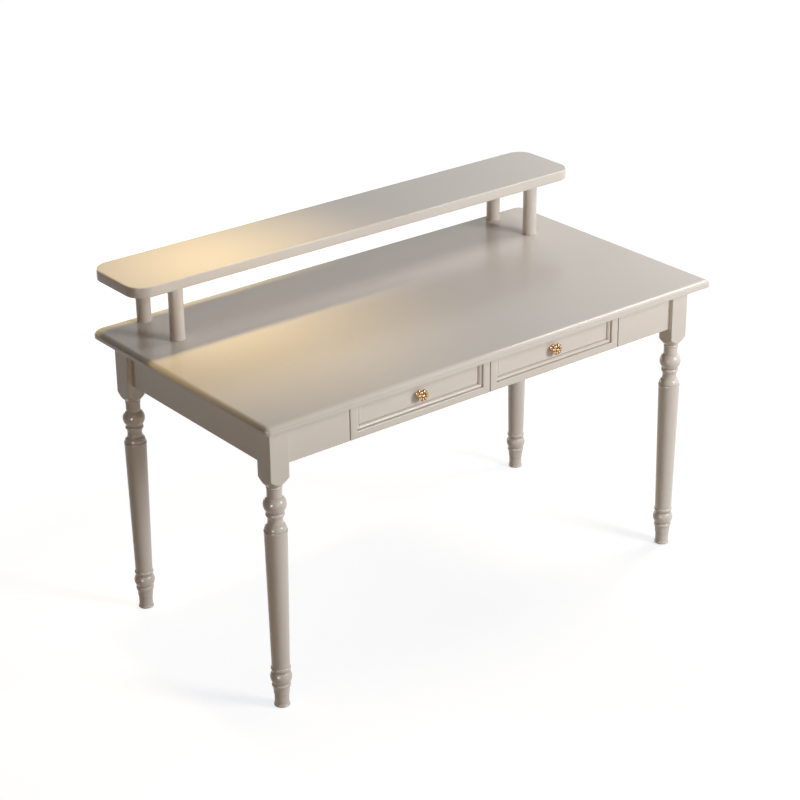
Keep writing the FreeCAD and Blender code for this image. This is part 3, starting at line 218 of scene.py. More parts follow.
# Vertex layer: 1 on open, polished gold, 0 in crevices, which get a duller sheen and painted
# shade.
POLISH_AND_LIGHT = "polish_and_light"
PAINT_DARK = rgb(213, 205, 196)
PAINT_PALE = rgb(217, 210, 202)
# Dust and painted shade in the hollows of the lacquer.
PAINT_DUST_AND_SHADE = rgb(160, 146, 130)
PINE_PALE = rgb(217, 192, 153)
PINE_DARK = rgb(203, 173, 131)
PLY_PALE = rgb(222, 202, 169)
PLY_DARK = rgb(212, 189, 154)
PORE_SHADE = 0.55
STEEL = rgb(186, 188, 190)
ZINC = rgb(196, 194, 184)
METAL_PATCH_SHADE = 0.82
GOLD_BRIGHT = rgb(204, 170, 131)
GOLD_DEEP = rgb(179, 140, 96)
# Painted crevice shade of the gold knobs.
GOLD_CREVICE_SHADE = rgb(74, 48, 22)
PLASTIC_DARK = rgb(36, 35, 33)
PLASTIC_PALE = rgb(58, 56, 53)


def make_paint():
    """Semi-gloss lacquer: cloudy roller tone, orange-peel skin, dust and painted shade in the
    hollows.
    """
    m = Finish("greige_lacquer")
    cloud = m.span(m.noise(scale=2.6, detail=1.0), low=0.3, high=0.7)
    clean = m.mix(cloud, PAINT_DARK, PAINT_PALE)
    # Painted shade: hollows found by the mesh's curvature are darkened, as dust and as the shade
    # that falls in creases.
    dusted_and_shaded = m.mix(m.span(m.curvature(), low=0.42, high=0.49), PAINT_DUST_AND_SHADE, clean)
    rubbed = m.noise(scale=3.0, detail=0.0)
    peel = m.noise(scale=260.0, detail=2.0)
    fine_peel = m.combine("MULTIPLY", m.noise(scale=900.0, detail=1.0), 0.35)
    m.set(base_color=dusted_and_shaded, ior=1.48, specular_ior_level=0.25)
    m.set(roughness=m.span(rubbed, low=0.2, high=0.8, to_low=0.29, to_high=0.34))
    m.set(coat_weight=0.4, coat_roughness=0.13)
    m.bump(m.combine("ADD", peel, fine_peel), depth=0.04 * MM, strength=0.2)
    return m.material


def make_raw_wood(name, along, pale, dark):
    """Sealed timber with its growth rings, pores and satin sheen along an axis."""
    m = Finish(name)
    rings = m.add("TexWave", wave_type="RINGS", rings_direction=along.upper())
    m.put(rings.inputs["Vector"], m.stretched(along, lengthwise=0.7, across=9.0))
    m.put(rings.inputs["Scale"], 4.0)
    m.put(rings.inputs["Distortion"], 7.0)
    m.put(rings.inputs["Detail"], 3.0)
    m.put(rings.inputs["Detail Scale"], 0.9)
    tone = m.mix(m.span(rings.outputs["Fac"], low=0.1, high=0.9), pale, dark)
    fine = m.stretched(along, lengthwise=6.0, across=160.0)
    pores = m.noise(scale=1.0, detail=3.0, place=fine)
    pore_mask = m.span(pores, low=0.56, high=0.72, to_high=0.35)
    m.set(base_color=m.mix(pore_mask, tone, shade(dark, PORE_SHADE)), ior=1.45)
    m.set(roughness=m.span(pores, low=0.3, high=0.7, to_low=0.48, to_high=0.62))
    m.bump(m.combine("MULTIPLY", pores, -1.0), depth=0.08 * MM, strength=0.5)
    return m.material


def make_metal(name, colour, rough, along):
    """Rolled or plated steel with fine streaks along an axis and a patchy tone."""
    m = Finish(name)
    fine = m.stretched(along, lengthwise=12.0, across=700.0)
    streaks = m.noise(scale=1.0, detail=2.0, place=fine)
    patches = m.span(m.noise(scale=40.0, detail=3.0), low=0.35, high=0.65)
    m.set(base_color=m.mix(patches, colour, shade(colour, METAL_PATCH_SHADE)), metallic=1.0)
    m.set(roughness=m.span(streaks, low=0.3, high=0.7,
                           to_low=rough - 0.06, to_high=rough + 0.08))
    m.bump(streaks, depth=0.03 * MM, strength=0.5)
    return m.material


def make_gold():
    """Gold plating, bright where polishing reaches and dark brown where it doesn't, the brown
    being painted shade of the crevices.
    """
    m = Finish("gilt")
    polish_and_light_share = m.add("Attribute", attribute_name=POLISH_AND_LIGHT).outputs["Fac"]
    polished_and_lit = m.span(polish_and_light_share, low=0.0, high=1.0)
    patches = m.span(m.noise(scale=260.0, detail=3.0), low=0.45, high=0.75, to_high=0.5)
    bright = m.mix(patches, GOLD_BRIGHT, GOLD_DEEP)
    # Painted shade: the crevices get dark brown in place of gold.
    m.set(base_color=m.mix(polished_and_lit, GOLD_CREVICE_SHADE, bright), metallic=1.0)
    m.set(roughness=m.span(polished_and_lit, low=0.0, high=1.0, to_low=0.5, to_high=0.23))
    m.bump(m.noise(scale=1500.0, detail=1.0), depth=0.02 * MM, strength=0.4)
    return m.material


def make_plastic():
    """Dark moulded plastic with scuffs."""
    m = Finish("glide_plastic")
    scuff = m.noise(scale=500.0, detail=3.0)
    m.set(base_color=m.mix(scuff, PLASTIC_DARK, PLASTIC_PALE))
    m.set(roughness=m.span(scuff, low=0.3, high=0.7, to_low=0.5, to_high=0.7))
    m.bump(scuff, depth=0.05 * MM, strength=0.5)
    return m.material


paint = make_paint()
gilt = make_gold()
pine = {axis: make_raw_wood(f"pine_{axis}", axis, PINE_PALE, PINE_DARK) for axis in "xyz"}
plywood = make_raw_wood("drawer_plywood", "y", PLY_PALE, PLY_DARK)
slide_steel = make_metal("slide_steel", STEEL, rough=0.34, along="y")
zinc_plate = make_metal("zinc_plate", ZINC, rough=0.30, along="z")
glide_plastic = make_plastic()

# Pine pieces whose grain doesn't run from front to back, besides the corner braces.
GRAIN = {
    "front_stretcher": "x",
    "left_drawer_back": "x",
    "right_drawer_back": "x",
    "shelf_post_dowels": "z",
}


def finish_of(name):
    """Material of a CAD node, by what the piece is."""
    if name.startswith(("apron", "front_panel")):
        return paint
    if "slide" in name and not name.endswith(("screws", "frame")):
        return slide_steel
    if name == "foot_glides":
        return glide_plastic
    if name.endswith(("screws", "screw", "bolts", "nuts", "brackets", "frame")):
        return zinc_plate
    if name.endswith("drawer_bottom"):
        return plywood
    if name.startswith("corner_brace"):
        return pine["z"]
    return pine[GRAIN.get(name, "y")]


def dress_frame():
    """Give every CAD node a finish; it shows on those that no finer mesh replaces."""
    for name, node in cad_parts.items():
        node.data.materials.clear()
        node.data.materials.append(finish_of(name))


# ---------------------------------------------------------------- mesh helpers

CORNER_STEPS = 14

# Faces that meet at more than this many degrees show a crisp edge.
SHARP = 28.0

# Radius at a turned tip, and of a plan corner once the inset has used its radius up. It
# isn't nought, because the points of a ring must not fall together.
POINTED = 0.05 * MM


def stack(mesh, rings):
    """Closed skin through rings of equal length, from the lowest or rearmost on."""
    made = [[mesh.verts.new(point) for point in ring] for ring in rings]
    for low, high in zip(made, made[1:]):
        for i in range(len(low)):
            j = (i + 1) % len(low)
            mesh.faces.new((low[i], low[j], high[j], high[i]))
    mesh.faces.new(made[0][::-1])
    mesh.faces.new(made[-1])


def to_piece(mesh, name, node, body, material, sharp=SHARP):
    """Finish a mesh as an object that stands for a CAD node."""
    data = bpy.data.meshes.new(name)
    mesh.to_mesh(data)
    mesh.free()
    data.polygons.foreach_set("use_smooth", [True] * len(data.polygons))
    data.set_sharp_from_angle(angle=math.radians(sharp))
    data.materials.append(material)
    piece = bpy.data.objects.new(name, data)
    bpy.context.scene.collection.objects.link(piece)
    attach(piece, body)
    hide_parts(node)


def painted(mesh, name, node, body="desk_frame"):
    """Finish a mesh as a painted piece, on the frame unless it says otherwise."""
    to_piece(mesh, name, node, body, paint)


def arc(start, end, radius, turn, steps):
    """Points after start up to end; turn 1 bends left, -1 bends right."""
    a, b = Vector(start), Vector(end)
    half = (b - a) / 2
    rise = math.sqrt(max(radius * radius - half.length_squared, 0.0))
    centre = a + half + Vector((-half.y, half.x)).normalized() * rise * turn
    first, last = (math.atan2(p.y - centre.y, p.x - centre.x) for p in (a, b))
    sweep = (last - first) * turn % (2 * math.pi) * turn
    return [
        (centre.x + radius * math.cos(first + sweep * k / steps),
         centre.y + radius * math.sin(first + sweep * k / steps))
        for k in range(1, steps + 1)
    ]


def bulge_radius(r_end, r_full, rise):
    """Radius of an arc that is upright at r_full and reaches r_end after a rise."""
    step = r_full - r_end
    return abs((step * step + rise * rise) / (step * 2))


def with_margins(points, margin):
    """Profile with a point close to both ends of each long straight run.

    Curvature is known at the points and blended between them, so points close to the ends
    keep the dust and painted shade of a hollow from spreading along the run.
    """
    result = [points[0]]
    for a, b in zip(points, points[1:]):
        a, b = Vector(a), Vector(b)
        share = margin / max((b - a).length, margin)
        if share < 1 / 3:
            result += [tuple(a.lerp(b, share)), tuple(b.lerp(a, share))]
        result.append(tuple(b))
    return result


def circle(radius, count):
    """Points of a circle about the origin."""
    angles = [2 * math.pi * k / count for k in range(count)]
    return [(radius * math.cos(angle), radius * math.sin(angle)) for angle in angles]


def lathe(mesh, centre, profile, count):
    """Turn (radius, z) points about an upright axis through centre."""
    stack(mesh, [[(centre.x + x, centre.y + y, z) for x, y in circle(radius, count)]
                 for radius, z in profile])


def rounded_plan(centre, half_x, half_y, front, rear):
    """Rectangle with rounded front and rear corners, anticlockwise from the front right."""
    points = []
    for sx, sy, start in ((1, -1, -90), (1, 1, 0), (-1, 1, 90), (-1, -1, 180)):
        radius = front if sy < 0 else rear
        for k in range(CORNER_STEPS + 1):
            angle = math.radians(start + 90 * k / CORNER_STEPS)
            points.append((
                centre.x + sx * (half_x - radius) + radius * math.cos(angle),
                centre.y + sy * (half_y - radius) + radius * math.sin(angle)))
    return points


def sides(plan):
    """Sides of a closed plan, each as its two ends."""
    return [(Vector(a), Vector(b)) for a, b in zip(plan, plan[1:] + plan[:1])]


def divided(plan, counts):
    """Closed plan with side k cut into counts[k] even steps."""
    points = []
    for (a, b), count in zip(sides(plan), counts):
        points += [a.lerp(b, k / count) for k in range(count)]
    return points


# ---------------------------------------------------------------- desk top and shelf
# From below: a flat band, a quirk and an ovolo up to the face of the top.

TOP_FRONT_CORNER = 16 * MM
TOP_REAR_CORNER = 30 * MM
BAND = 10 * MM
BAND_ARRIS = 0.7 * MM
QUIRK = 1.5 * MM
QUIRK_DROP = 1 * MM
MOULDING = 14 * MM
OVOLO = 17 * MM
SHELF_CORNER = 45 * MM
SHELF_ARRIS = 3 * MM

# Width of the outer strip of a board's faces, for the reason that with_margins gives.
FACE_MARGIN = 50 * MM


def slab(name, node, front, rear, profile):
    """Board whose edge follows (inset, height) points round its rounded plan."""
    low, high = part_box(node)
    centre = (low + high) / 2
    half = (high - low) / 2
    under, over = profile[0][1], profile[-1][1]
    rings = []
    for inset, height in [(FACE_MARGIN, under)] + profile + [(FACE_MARGIN, over)]:
        plan = rounded_plan(centre, half.x - inset, half.y - inset,
                            max(front - inset, POINTED), max(rear - inset, POINTED))
        rings.append([(x, y, low.z + height) for x, y in plan])
    mesh = bmesh.new()
    stack(mesh, rings)
    painted(mesh, name, node)


def make_top():
    """Desk top with its moulded edge."""
    low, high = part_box("desk_top")
    thick = high.z - low.z
    r = BAND_ARRIS
    profile = [(2 * r, 0.0)] + arc((r, 0.0), (0.0, r), r, -1, steps=3)
    profile += [(0.0, BAND - r)] + arc((0.0, BAND - r), (r, BAND), r, -1, steps=3)
    profile += [(QUIRK, BAND), (QUIRK, BAND + QUIRK_DROP)]
    profile += arc((QUIRK, BAND + QUIRK_DROP), (MOULDING, thick), OVOLO, -1, steps=12)
    profile += [(MOULDING + 2 * r, thick)]
    slab("desk_top_moulded", "desk_top", TOP_FRONT_CORNER, TOP_REAR_CORNER, profile)


def make_shelf():
    """Shelf board with rounded corners and soft arrises."""
    low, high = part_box("shelf_board")
    thick = high.z - low.z
    r = SHELF_ARRIS
    profile = [(2 * r, 0.0), (r, 0.0)] + arc((r, 0.0), (0.0, r), r, -1, steps=7)
    profile += [(0.0, thick - r)] + arc((0.0, thick - r), (r, thick), r, -1, steps=7)
    profile += [(2 * r, thick)]
    slab("shelf_board_rounded", "shelf_board", SHELF_CORNER, SHELF_CORNER, profile)


# ---------------------------------------------------------------- shelf posts

# The desk's corners, with the signs of their x and y.
CORNERS = {
    "front_left": (-1, -1),
    "front_right": (1, -1),
    "rear_right": (1, 1),
    "rear_left": (-1, 1),
}
POST_ARRIS = 1 * MM
POST_SIDES = 96


def make_posts():
    """Four round posts with soft ends."""
    r = POST_ARRIS
    for corner in CORNERS:
        node = f"shelf_post_{corner}"
        low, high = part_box(node)
        radius = (high.x - low.x) / 2
        foot = arc((radius - r, 0), (radius, r), r, 1, steps=4)
        head = arc((radius, -r), (radius - r, 0), r, 1, steps=4)
        profile = [(radius - r, low.z)] + [(x, low.z + z) for x, z in foot]
        profile += [(radius, high.z - r)] + [(x, high.z + z) for x, z in head]
        mesh = bmesh.new()
        lathe(mesh, (low + high) / 2, profile, POST_SIDES)
        painted(mesh, f"round_{node}", node)


# ---------------------------------------------------------------- turned legs
# Heights and radii of the turned forms, from the square head down to the foot. The sole
# has a ring at SOLE_SHARE of the foot's radius, and PLAN_STEP is the longest step along
# the head's plan.

BLOCK_SIDE = 51 * MM
BLOCK_ARRIS = 1.5 * MM
BLOCK_ARRIS_STEPS = 4
INNER_FLAT = 8 * MM
BLOCK_HEIGHT = 138 * MM
PLAN_STEP = 1.5 * MM
SHOULDER = 23 * MM
COLLAR = 5 * MM
COLLAR_RADIUS = 18.8 * MM
NECK = 22 * MM
NECK_RADIUS = 17.7 * MM
UPPER_BALL = 37 * MM
UPPER_BALL_RADIUS = 27 * MM
UPPER_QUIRK = 2 * MM
UPPER_QUIRK_RADIUS = 19.6 * MM
UPPER_RING = 9 * MM
UPPER_RING_RADIUS = 22.2 * MM
COVE = 19 * MM
COVE_RADIUS = 17.9 * MM
BELL = 14 * MM
BELL_CURVE = 16 * MM
BELL_LIP = 1 * MM
CAP_STEP = 1.6 * MM
CAP_STEP_HEIGHT = 2 * MM
CAP_RING = 7 * MM
CAP_BULGE = 0.5 * MM
SHAFT_HIGH_RADIUS = 27 * MM
SHAFT_LOW_RADIUS = 21.3 * MM
BEAD = 10 * MM
BEAD_RADIUS = 23.5 * MM
LOWER_NECK = 4 * MM
LOWER_BALL = 28 * MM
LOWER_BALL_RADIUS = 25.6 * MM
LOWER_QUIRK = 3 * MM
LOWER_QUIRK_RADIUS = 20.6 * MM
LOWER_RING = 9 * MM
LOWER_RING_RADIUS = 22.4 * MM
ANKLE = 13 * MM
ANKLE_FILLET = 5 * MM
ANKLE_FILLET_OUT = 1.6 * MM
FOOT = 26 * MM
FOOT_RADIUS = 17.2 * MM
FLARE = 6 * MM
FLARE_OUT = 1.8 * MM
FLARE_CURVE = 5.4 * MM
SOLE_SHARE = 0.8
TURNED_MARGIN = 2 * MM
LEG_SIDES = 120


def turned_profile(foot_z, head_z):
    """(radius, z) of the turned part, from the floor end up to the block's shoulder."""
    points = []

    def go(radius, z):
        points.append((radius, z))

    def curve(radius, z, bend, turn, steps=8):
        points.extend(arc(points[-1], (radius, z), bend, turn, steps))

    def bulge(low_r, full, high_r, height):
        z = points[-1][1]
        half = height / 2
        curve(full, z + half, bulge_radius(low_r, full, half), 1)
        curve(high_r, z + height, bulge_radius(high_r, full, half), 1)

    # Foot and ankle.
    z = foot_z
    go(SOLE_SHARE * FOOT_RADIUS, z)
    go(FOOT_RADIUS + FLARE_OUT, z)
    go(FOOT_RADIUS + FLARE_OUT, z + FLARE / 2)
    curve(FOOT_RADIUS, z + FLARE, FLARE_CURVE, -1, steps=4)
    z += FLARE + FOOT
    go(FOOT_RADIUS, z)
    go(FOOT_RADIUS + ANKLE_FILLET_OUT, z)
    z += ANKLE_FILLET
    go(FOOT_RADIUS + ANKLE_FILLET_OUT, z)
    z += ANKLE
    go(LOWER_QUIRK_RADIUS, z)

    # Lower ring, ball and bead.
    bulge(LOWER_QUIRK_RADIUS, LOWER_RING_RADIUS, LOWER_QUIRK_RADIUS, LOWER_RING)
    go(LOWER_QUIRK_RADIUS, points[-1][1] + LOWER_QUIRK)
    bulge(LOWER_QUIRK_RADIUS, LOWER_BALL_RADIUS, LOWER_QUIRK_RADIUS, LOWER_BALL)
    go(LOWER_QUIRK_RADIUS, points[-1][1] + LOWER_NECK)
    bulge(LOWER_QUIRK_RADIUS, BEAD_RADIUS, SHAFT_LOW_RADIUS, BEAD)

    # Long taper up to the cap, which is placed down from the head.
    collar_low = head_z - COLLAR
    ball_low = collar_low - NECK - UPPER_BALL
    ring_low = ball_low - UPPER_QUIRK - UPPER_RING
    bell_top = ring_low - COVE
    bell_low = bell_top - BELL
    cap_low = bell_low - CAP_STEP_HEIGHT - CAP_RING
    go(SHAFT_HIGH_RADIUS, cap_low)
    bulge(SHAFT_HIGH_RADIUS, SHAFT_HIGH_RADIUS + CAP_BULGE, SHAFT_HIGH_RADIUS, CAP_RING)
    go(SHAFT_HIGH_RADIUS - CAP_STEP, bell_low - CAP_STEP_HEIGHT)
    go(SHAFT_HIGH_RADIUS - CAP_STEP, bell_low)

    # Bell and cove.
    bell_end = COVE_RADIUS + BELL_LIP
    curve(bell_end, bell_top, BELL_CURVE, 1, steps=10)
    waist = COVE / 2
    curve(COVE_RADIUS, ring_low - waist, bulge_radius(COVE_RADIUS, bell_end, waist), -1)
    curve(UPPER_QUIRK_RADIUS, ring_low,
          bulge_radius(COVE_RADIUS, UPPER_QUIRK_RADIUS, waist), -1)

    # Upper ring and ball, neck and collar.
    bulge(UPPER_QUIRK_RADIUS, UPPER_RING_RADIUS, UPPER_QUIRK_RADIUS, UPPER_RING)
    go(UPPER_QUIRK_RADIUS, ball_low)
    bulge(UPPER_QUIRK_RADIUS, UPPER_BALL_RADIUS, NECK_RADIUS, UPPER_BALL)
    go(NECK_RADIUS, collar_low)
    bulge(NECK_RADIUS, COLLAR_RADIUS, NECK_RADIUS, COLLAR)
    return points


def block_plan(sign_x, sign_y):
    """Plan of the head about its axis: three rounded corners, and the inner one cut."""
    half = BLOCK_SIDE / 2
    points = []
    for cx, cy in ((1, 1), (-1, 1), (-1, -1), (1, -1)):
        if (cx, cy) == (-sign_x, -sign_y):
            along = half - INNER_FLAT
            pair = [(cx * half, cy * along), (cx * along, cy * half)]
            points += pair if cx * cy > 0 else pair[::-1]
            continue
        start = math.atan2(cy, cx) - math.pi / 4
        for k in range(BLOCK_ARRIS_STEPS + 1):
            angle = start + math.pi / 2 * k / BLOCK_ARRIS_STEPS
            points.append((cx * (half - BLOCK_ARRIS) + BLOCK_ARRIS * math.cos(angle),
                           cy * (half - BLOCK_ARRIS) + BLOCK_ARRIS * math.sin(angle)))
    return points


def head_rings(axis, plan, head_z, top_z):
    """Rings of the shoulder and the square head over it.

    The shoulder is a cone that meets each point of the head's plan at the height where
    their radii are equal.
    """
    corner_radius = BLOCK_SIDE / math.sqrt(2)
    rings = []
    for share in (0.0, 0.5, 1.0):
        ring = []
        for point in plan:
            out = point.length - NECK_RADIUS
            climb = out / (corner_radius - NECK_RADIUS)
            spot = point.normalized() * (NECK_RADIUS + out * share)
            ring.append((axis.x + spot.x, axis.y + spot.y, head_z + SHOULDER * climb * share))
        rings.append(ring)
    rings.append([(axis.x + point.x, axis.y + point.y, top_z) for point in plan])
    return rings


def make_legs():
    """Four legs, each a turned part and a square head."""
    for corner, (sign_x, sign_y) in CORNERS.items():
        node = f"leg_{corner}"
        low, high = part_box(node)
        axis = (low + high) / 2
        head_z = high.z - BLOCK_HEIGHT - SHOULDER
        profile = with_margins(turned_profile(low.z, head_z), TURNED_MARGIN)
        plan = block_plan(sign_x, sign_y)
        counts = [max(1, math.ceil((b - a).length / PLAN_STEP)) for a, b in sides(plan)]
        mesh = bmesh.new()
        lathe(mesh, axis, profile, LEG_SIDES)
        stack(mesh, head_rings(axis, divided(plan, counts), head_z, high.z))
        painted(mesh, f"turned_{node}", node)


# ---------------------------------------------------------------- drawer fronts
# The moulding of the recess as (inset, depth): arris, quirk, ovolo, quirk and bead.

STILE = 20 * MM
LOWER_RAIL = 18 * MM
UPPER_RAIL = 12.5 * MM
FRONT_ARRIS = 1 * MM
FRONT_STEPS_ACROSS = 60
FRONT_STEPS_UP = 16
RECESS_ARRIS = 2.5 * MM
RECESS_DEPTH = 10 * MM
OUTER_QUIRK = (1.4 * MM, 5.4 * MM)
OVOLO_START = (2.2 * MM, 4.4 * MM)
OVOLO_END = (8.6 * MM, 9.4 * MM)
OVOLO_CURVE = 7 * MM
INNER_QUIRK = (9.4 * MM, 10.8 * MM)
PANEL_BEAD_START = 10.2 * MM
PANEL_BEAD_END = 17.4 * MM
PANEL_BEAD_CURVE = 9 * MM
FIELD_MARGIN = 1.5 * MM


def recess_section():
    """(inset, depth) from the arris of stile or rail down to the sunk field."""
    r = RECESS_ARRIS
    section = [(-r, 0.0)] + arc((-r, 0.0), (0.0, r), r, 1, steps=5)
    section += [OUTER_QUIRK, OVOLO_START]
    section += arc(OVOLO_START, OVOLO_END, OVOLO_CURVE, 1, steps=8)
    section += [INNER_QUIRK, (PANEL_BEAD_START, RECESS_DEPTH)]
    section += arc((PANEL_BEAD_START, RECESS_DEPTH), (PANEL_BEAD_END, RECESS_DEPTH),
                   PANEL_BEAD_CURVE, 1, steps=6)
    section += [(PANEL_BEAD_END + FIELD_MARGIN, RECESS_DEPTH)]
    return section


def front_insets(thick):
    """(beside, under, over, depth) of each ring of a front, from its back to the field."""
    r = FRONT_ARRIS
    edge = [(0.0, thick), (0.0, r)] + arc((0.0, r), (r, 0.0), r, 1, steps=4)
    insets = [(inset, inset, inset, depth) for inset, depth in edge]
    insets += [(STILE + inset, LOWER_RAIL + inset, UPPER_RAIL + inset, depth)
               for inset, depth in recess_section()]
    return insets


def make_fronts():
    """Two drawer fronts with a sunk, moulded panel."""
    for side in ("left", "right"):
        node = f"{side}_drawer_front"
        low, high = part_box(node)
        rings = []
        for beside, under, over, depth in front_insets(high.y - low.y):
            x0, x1 = low.x + beside, high.x - beside
            z0, z1 = low.z + under, high.z - over
            plan = divided([(x0, z0), (x1, z0), (x1, z1), (x0, z1)],
                           (FRONT_STEPS_ACROSS, FRONT_STEPS_UP) * 2)
            rings.append([(point.x, low.y + depth, point.y) for point in plan])
        mesh = bmesh.new()
        stack(mesh, rings)
        painted(mesh, f"{side}_drawer_panelled_front", node, f"{side}_drawer")


# ---------------------------------------------------------------- knobs
# Heights are over the sunk field: base, stem, plate and button, with petals on the plate.
# The base's back has a ring at KNOB_HIDDEN_SHARE of its radius. Within PETAL_GAP of a gap
# between petals, or of the button's rim, the gold fades to a duller sheen and painted shade.

KNOB_BASE = 8.5 * MM
KNOB_BASE_HEIGHT = 2.5 * MM
KNOB_BASE_CURVE = 4 * MM
KNOB_HIDDEN_SHARE = 0.5
KNOB_STEM = 5 * MM
KNOB_STEM_FLARE = 1 * MM
KNOB_STEM_HEIGHT = 8 * MM
KNOB_STEM_CURVE = 16 * MM
KNOB_PLATE = 9.5 * MM
KNOB_PLATE_BACK = 4.5 * MM
KNOB_PLATE_RIM = 1 * MM
KNOB_BUTTON = 4.8 * MM
KNOB_BUTTON_HEIGHT = 4.4 * MM
KNOB_SIDES = 72
KNOB_SHARP = 35.0
PETALS = 8
PETAL_RADIUS = 5.2 * MM
PETAL_REACH = 9.4 * MM
PETAL_DEPTH = 8.4 * MM
PETAL_GAP = 3.0 * MM
PETAL_STEPS = 24
PETAL_SIDES = 48
FIRST_PETAL = -math.pi / PETALS / 2


def knob_profile():
    """(radius, height) from the base to the tip of the button, and the plate's back."""
    stem_end = KNOB_BASE_HEIGHT + KNOB_STEM_HEIGHT
    back = stem_end + KNOB_PLATE_BACK
    face = back + KNOB_PLATE_RIM
    points = [(KNOB_HIDDEN_SHARE * KNOB_BASE, 0.0), (KNOB_BASE, 0.0)]
    points += arc(points[-1], (KNOB_STEM + KNOB_STEM_FLARE, KNOB_BASE_HEIGHT),
                  KNOB_BASE_CURVE, 1, steps=6)
    points += arc(points[-1], (KNOB_STEM, stem_end), KNOB_STEM_CURVE, -1, steps=10)
    points += [(KNOB_PLATE, back), (KNOB_PLATE, face), (KNOB_BUTTON, face)]
    bend = bulge_radius(0, KNOB_BUTTON_HEIGHT, KNOB_BUTTON)
    points += arc(points[-1], (POINTED, face + KNOB_BUTTON_HEIGHT), bend, 1, steps=12)
    return points, back


def petal_profile(middle):
    """(radius, height) of one petal, an egg about its own axis."""
    points = []
    for k in range(PETAL_STEPS + 1):
        angle = math.pi * (k / PETAL_STEPS - 0.5)
        points.append((max(PETAL_RADIUS * math.cos(angle), POINTED),
                       middle + PETAL_DEPTH / 2 * math.sin(angle)))
    return points


def turned_out(mesh, x, z, field_y, profile, count):
    """Turn (radius, height) points about an axis that leaves the drawer's field."""
    stack(mesh, [[(x + across, field_y - height, z + up) for across, up in circle(radius, count)]
                 for radius, height in profile])


def polish_and_light_at(across, up, height, face):
    """1 on open gold, 0 between petals and round the button, where shade is painted."""
    pitch = 2 * math.pi / PETALS
    off = abs((math.atan2(up, across) - FIRST_PETAL + pitch / 2) % pitch - pitch / 2)
    radius = math.hypot(across, up)
    gap = (pitch / 2 - off) * radius / PETAL_GAP
    ring = abs(radius - KNOB_BUTTON) / PETAL_GAP
    depth = (face + KNOB_BUTTON_HEIGHT - height) / KNOB_BUTTON_HEIGHT
    if radius < KNOB_BUTTON:
        return min(1.0, ring + 1.0 - min(depth, 1.0))
    if height < face - PETAL_DEPTH:
        return 1.0
    return max(0.0, min(1.0, gap, ring))


def make_knobs():
    """Two gilt knobs, each a turned stem and button in a ring of petals."""
    profile, back = knob_profile()
    petal = petal_profile(back)
    for side in ("left", "right"):
        node = f"{side}_knob"
        low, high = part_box(node)
        centre = (low + high) / 2
        mesh = bmesh.new()
        turned_out(mesh, centre.x, centre.z, high.y, profile, KNOB_SIDES)
        for k in range(PETALS):
            angle = FIRST_PETAL + 2 * math.pi * k / PETALS
            turned_out(mesh, centre.x + PETAL_REACH * math.cos(angle),
                       centre.z + PETAL_REACH * math.sin(angle), high.y, petal, PETAL_SIDES)
        layer = mesh.verts.layers.float.new(POLISH_AND_LIGHT)
        for vert in mesh.verts:
            vert[layer] = polish_and_light_at(vert.co.x - centre.x, vert.co.z - centre.z,
                                    high.y - vert.co.y, back + KNOB_PLATE_RIM)
        to_piece(mesh, f"{side}_petal_knob", node, f"{side}_drawer", gilt,
                 KNOB_SHARP)


# ---------------------------------------------------------------- floor and surroundings

FLOOR_HALF = 40.0
FLOOR_TONE = rgb(186, 176, 162)
FLOOR_TONE_PALE = rgb(190, 180, 166)

# Where the lamps light the floor most, how bright white paint would be there with 1 for
# white, and the distance at which their light is down to half.
FLOOR_BRIGHTEST = (0.5, -1.0, 0.0)
FLOOR_LIGHT = 0.8
FLOOR_FADE = 1.6


def make_floor():
    """Pale floor that shows white to the camera but keeps the desk's shadow."""
    data = bpy.data.meshes.new("floor")
    h = FLOOR_HALF
    data.from_pydata([(-h, -h, 0), (h, -h, 0), (h, h, 0), (-h, h, 0)], [], [(0, 1, 2, 3)])
    floor = bpy.data.objects.new("floor", data)
    bpy.context.scene.collection.objects.link(floor)

    m = Finish("pale_floor")
    grain = m.noise(scale=30.0, detail=3.0)
    m.set(base_color=m.mix(grain, FLOOR_TONE, FLOOR_TONE_PALE))
    m.set(roughness=0.9, specular_ior_level=0.1)

    # The glow adds what the lamps' own light lacks to white, in each of the three colours.
    away = m.add("VectorMath", operation="DISTANCE")
    m.put(away.inputs[0], m.place)
    m.put(away.inputs[1], FLOOR_BRIGHTEST)
    fade = m.combine("DIVIDE", away.outputs["Value"], FLOOR_FADE)
    lit = m.combine("DIVIDE", 1.0, m.combine("ADD", m.combine("POWER", fade, 2.0), 1.0))
    lack = tuple(1.0 - FLOOR_LIGHT * c for c in FLOOR_TONE[:3]) + (1.0,)
    glow = m.add("Emission")
    m.put(glow.inputs["Color"], m.mix(lit, WHITE, lack))
    m.put(glow.inputs["Strength"], m.seen())
    both = m.add("AddShader")
    m.put(both.inputs[0], m.shader.outputs["BSDF"])
    m.put(both.inputs[1], glow.outputs["Emission"])
    m.put(m.output.inputs["Surface"], both.outputs["Shader"])
    data.materials.append(m.material)


def make_world():
    """White surroundings for the camera and the gloss; the lamps give all diffuse light."""
    world = bpy.data.worlds.new("studio")
    world.use_nodes = True
    w = Nodes(world.node_tree)
    background = world.node_tree.nodes["Background"]
    w.put(background.inputs["Color"], WHITE)
    w.put(background.inputs["Strength"], w.seen())
    bpy.context.scene.world = world


# ---------------------------------------------------------------- lamps
# Powers in watts, spreads in degrees.


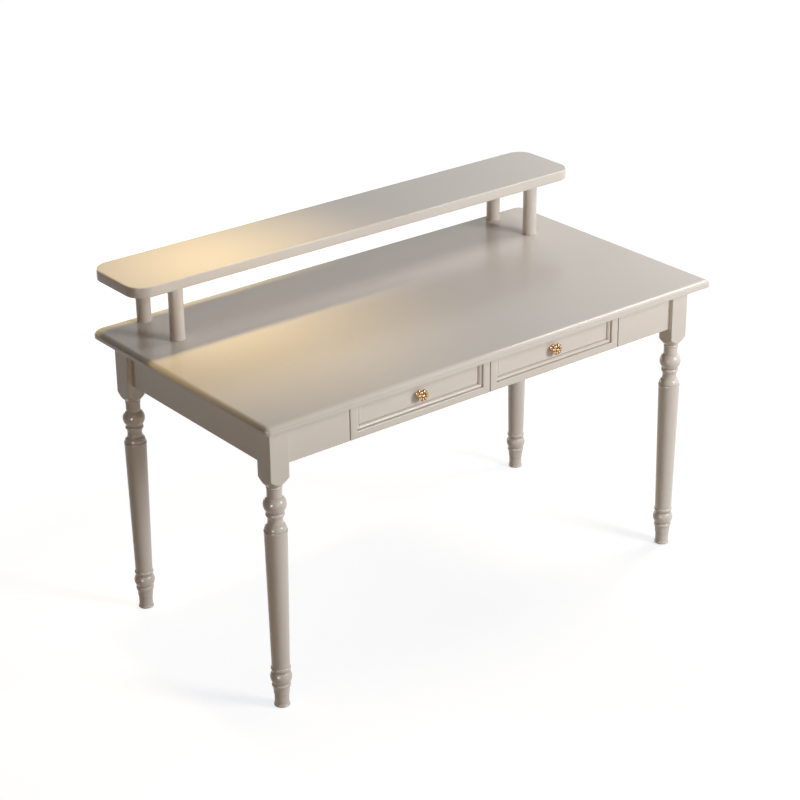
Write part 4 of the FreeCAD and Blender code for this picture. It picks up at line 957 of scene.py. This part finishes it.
def area_light(name, at, aim, size, power, colour, spread=180.0, gloss_only=False):
    """Rectangular lamp; with gloss_only it shows in the sheen and gives no diffuse light."""
    data = bpy.data.lights.new(name, "AREA")
    data.shape = "RECTANGLE"
    data.size, data.size_y = size
    data.spread = math.radians(spread)
    data.energy = power
    data.color = colour
    lamp = bpy.data.objects.new(name, data)
    lamp.location = at
    lamp.rotation_euler = (Vector(aim) - Vector(at)).to_track_quat("-Z", "Y").to_euler()
    lamp.visible_diffuse = not gloss_only
    bpy.context.scene.collection.objects.link(lamp)


def make_lights():
    """Soft studio light, strongest from the front right.

    In the photo a warm lamp lights the shelf's left half and a window stands at the left:
    shelf_lamp, left_fill and window_gloss take their place.
    """
    area_light("key_right", at=(1.7, -3.2, 2.2), aim=(0.1, 0.0, 0.6), size=(1.2, 1.2),
               power=94, colour=(0.98, 0.99, 1.0))
    area_light("front_left", at=(-0.3, -3.7, 1.45), aim=(0.0, 0.0, 0.6), size=(2.6, 2.4),
               power=23, colour=(1.0, 1.0, 1.0))
    area_light("ceiling_right", at=(1.7, -0.2, 2.3), aim=(0.5, 0.0, 0.75), size=(0.8, 0.8),
               power=20, colour=(1.0, 0.97, 0.94))
    area_light("shelf_lamp", at=(-0.45, 0.53, 2.2), aim=(-0.45, 0.19, 0.9), size=(0.2, 0.2),
               power=1.05, colour=(1.0, 0.75, 0.34), spread=42.0)
    area_light("left_fill", at=(-3.4, -1.9, 1.5), aim=(-0.4, 0.0, 0.5), size=(1.0, 1.0),
               power=6.5, colour=(1.0, 0.5, 0.08))
    area_light("window_gloss", at=(-3.7, -1.9, 0.75), aim=(-0.3, 0.0, 0.5), size=(1.2, 1.2),
               power=80, colour=(1.0, 0.98, 0.95), gloss_only=True)
    area_light("rear_fill", at=(0.3, 3.2, 0.4), aim=(0.0, 0.0, 0.45), size=(2.4, 0.6),
               power=24, colour=(1.0, 0.97, 0.93))


# ---------------------------------------------------------------- put together

bpy.context.scene.view_settings.view_transform = "Standard"
make_camera()
dress_frame()
make_top()
make_shelf()
make_posts()
make_legs()
make_fronts()
make_knobs()
make_floor()
make_world()
make_lights()
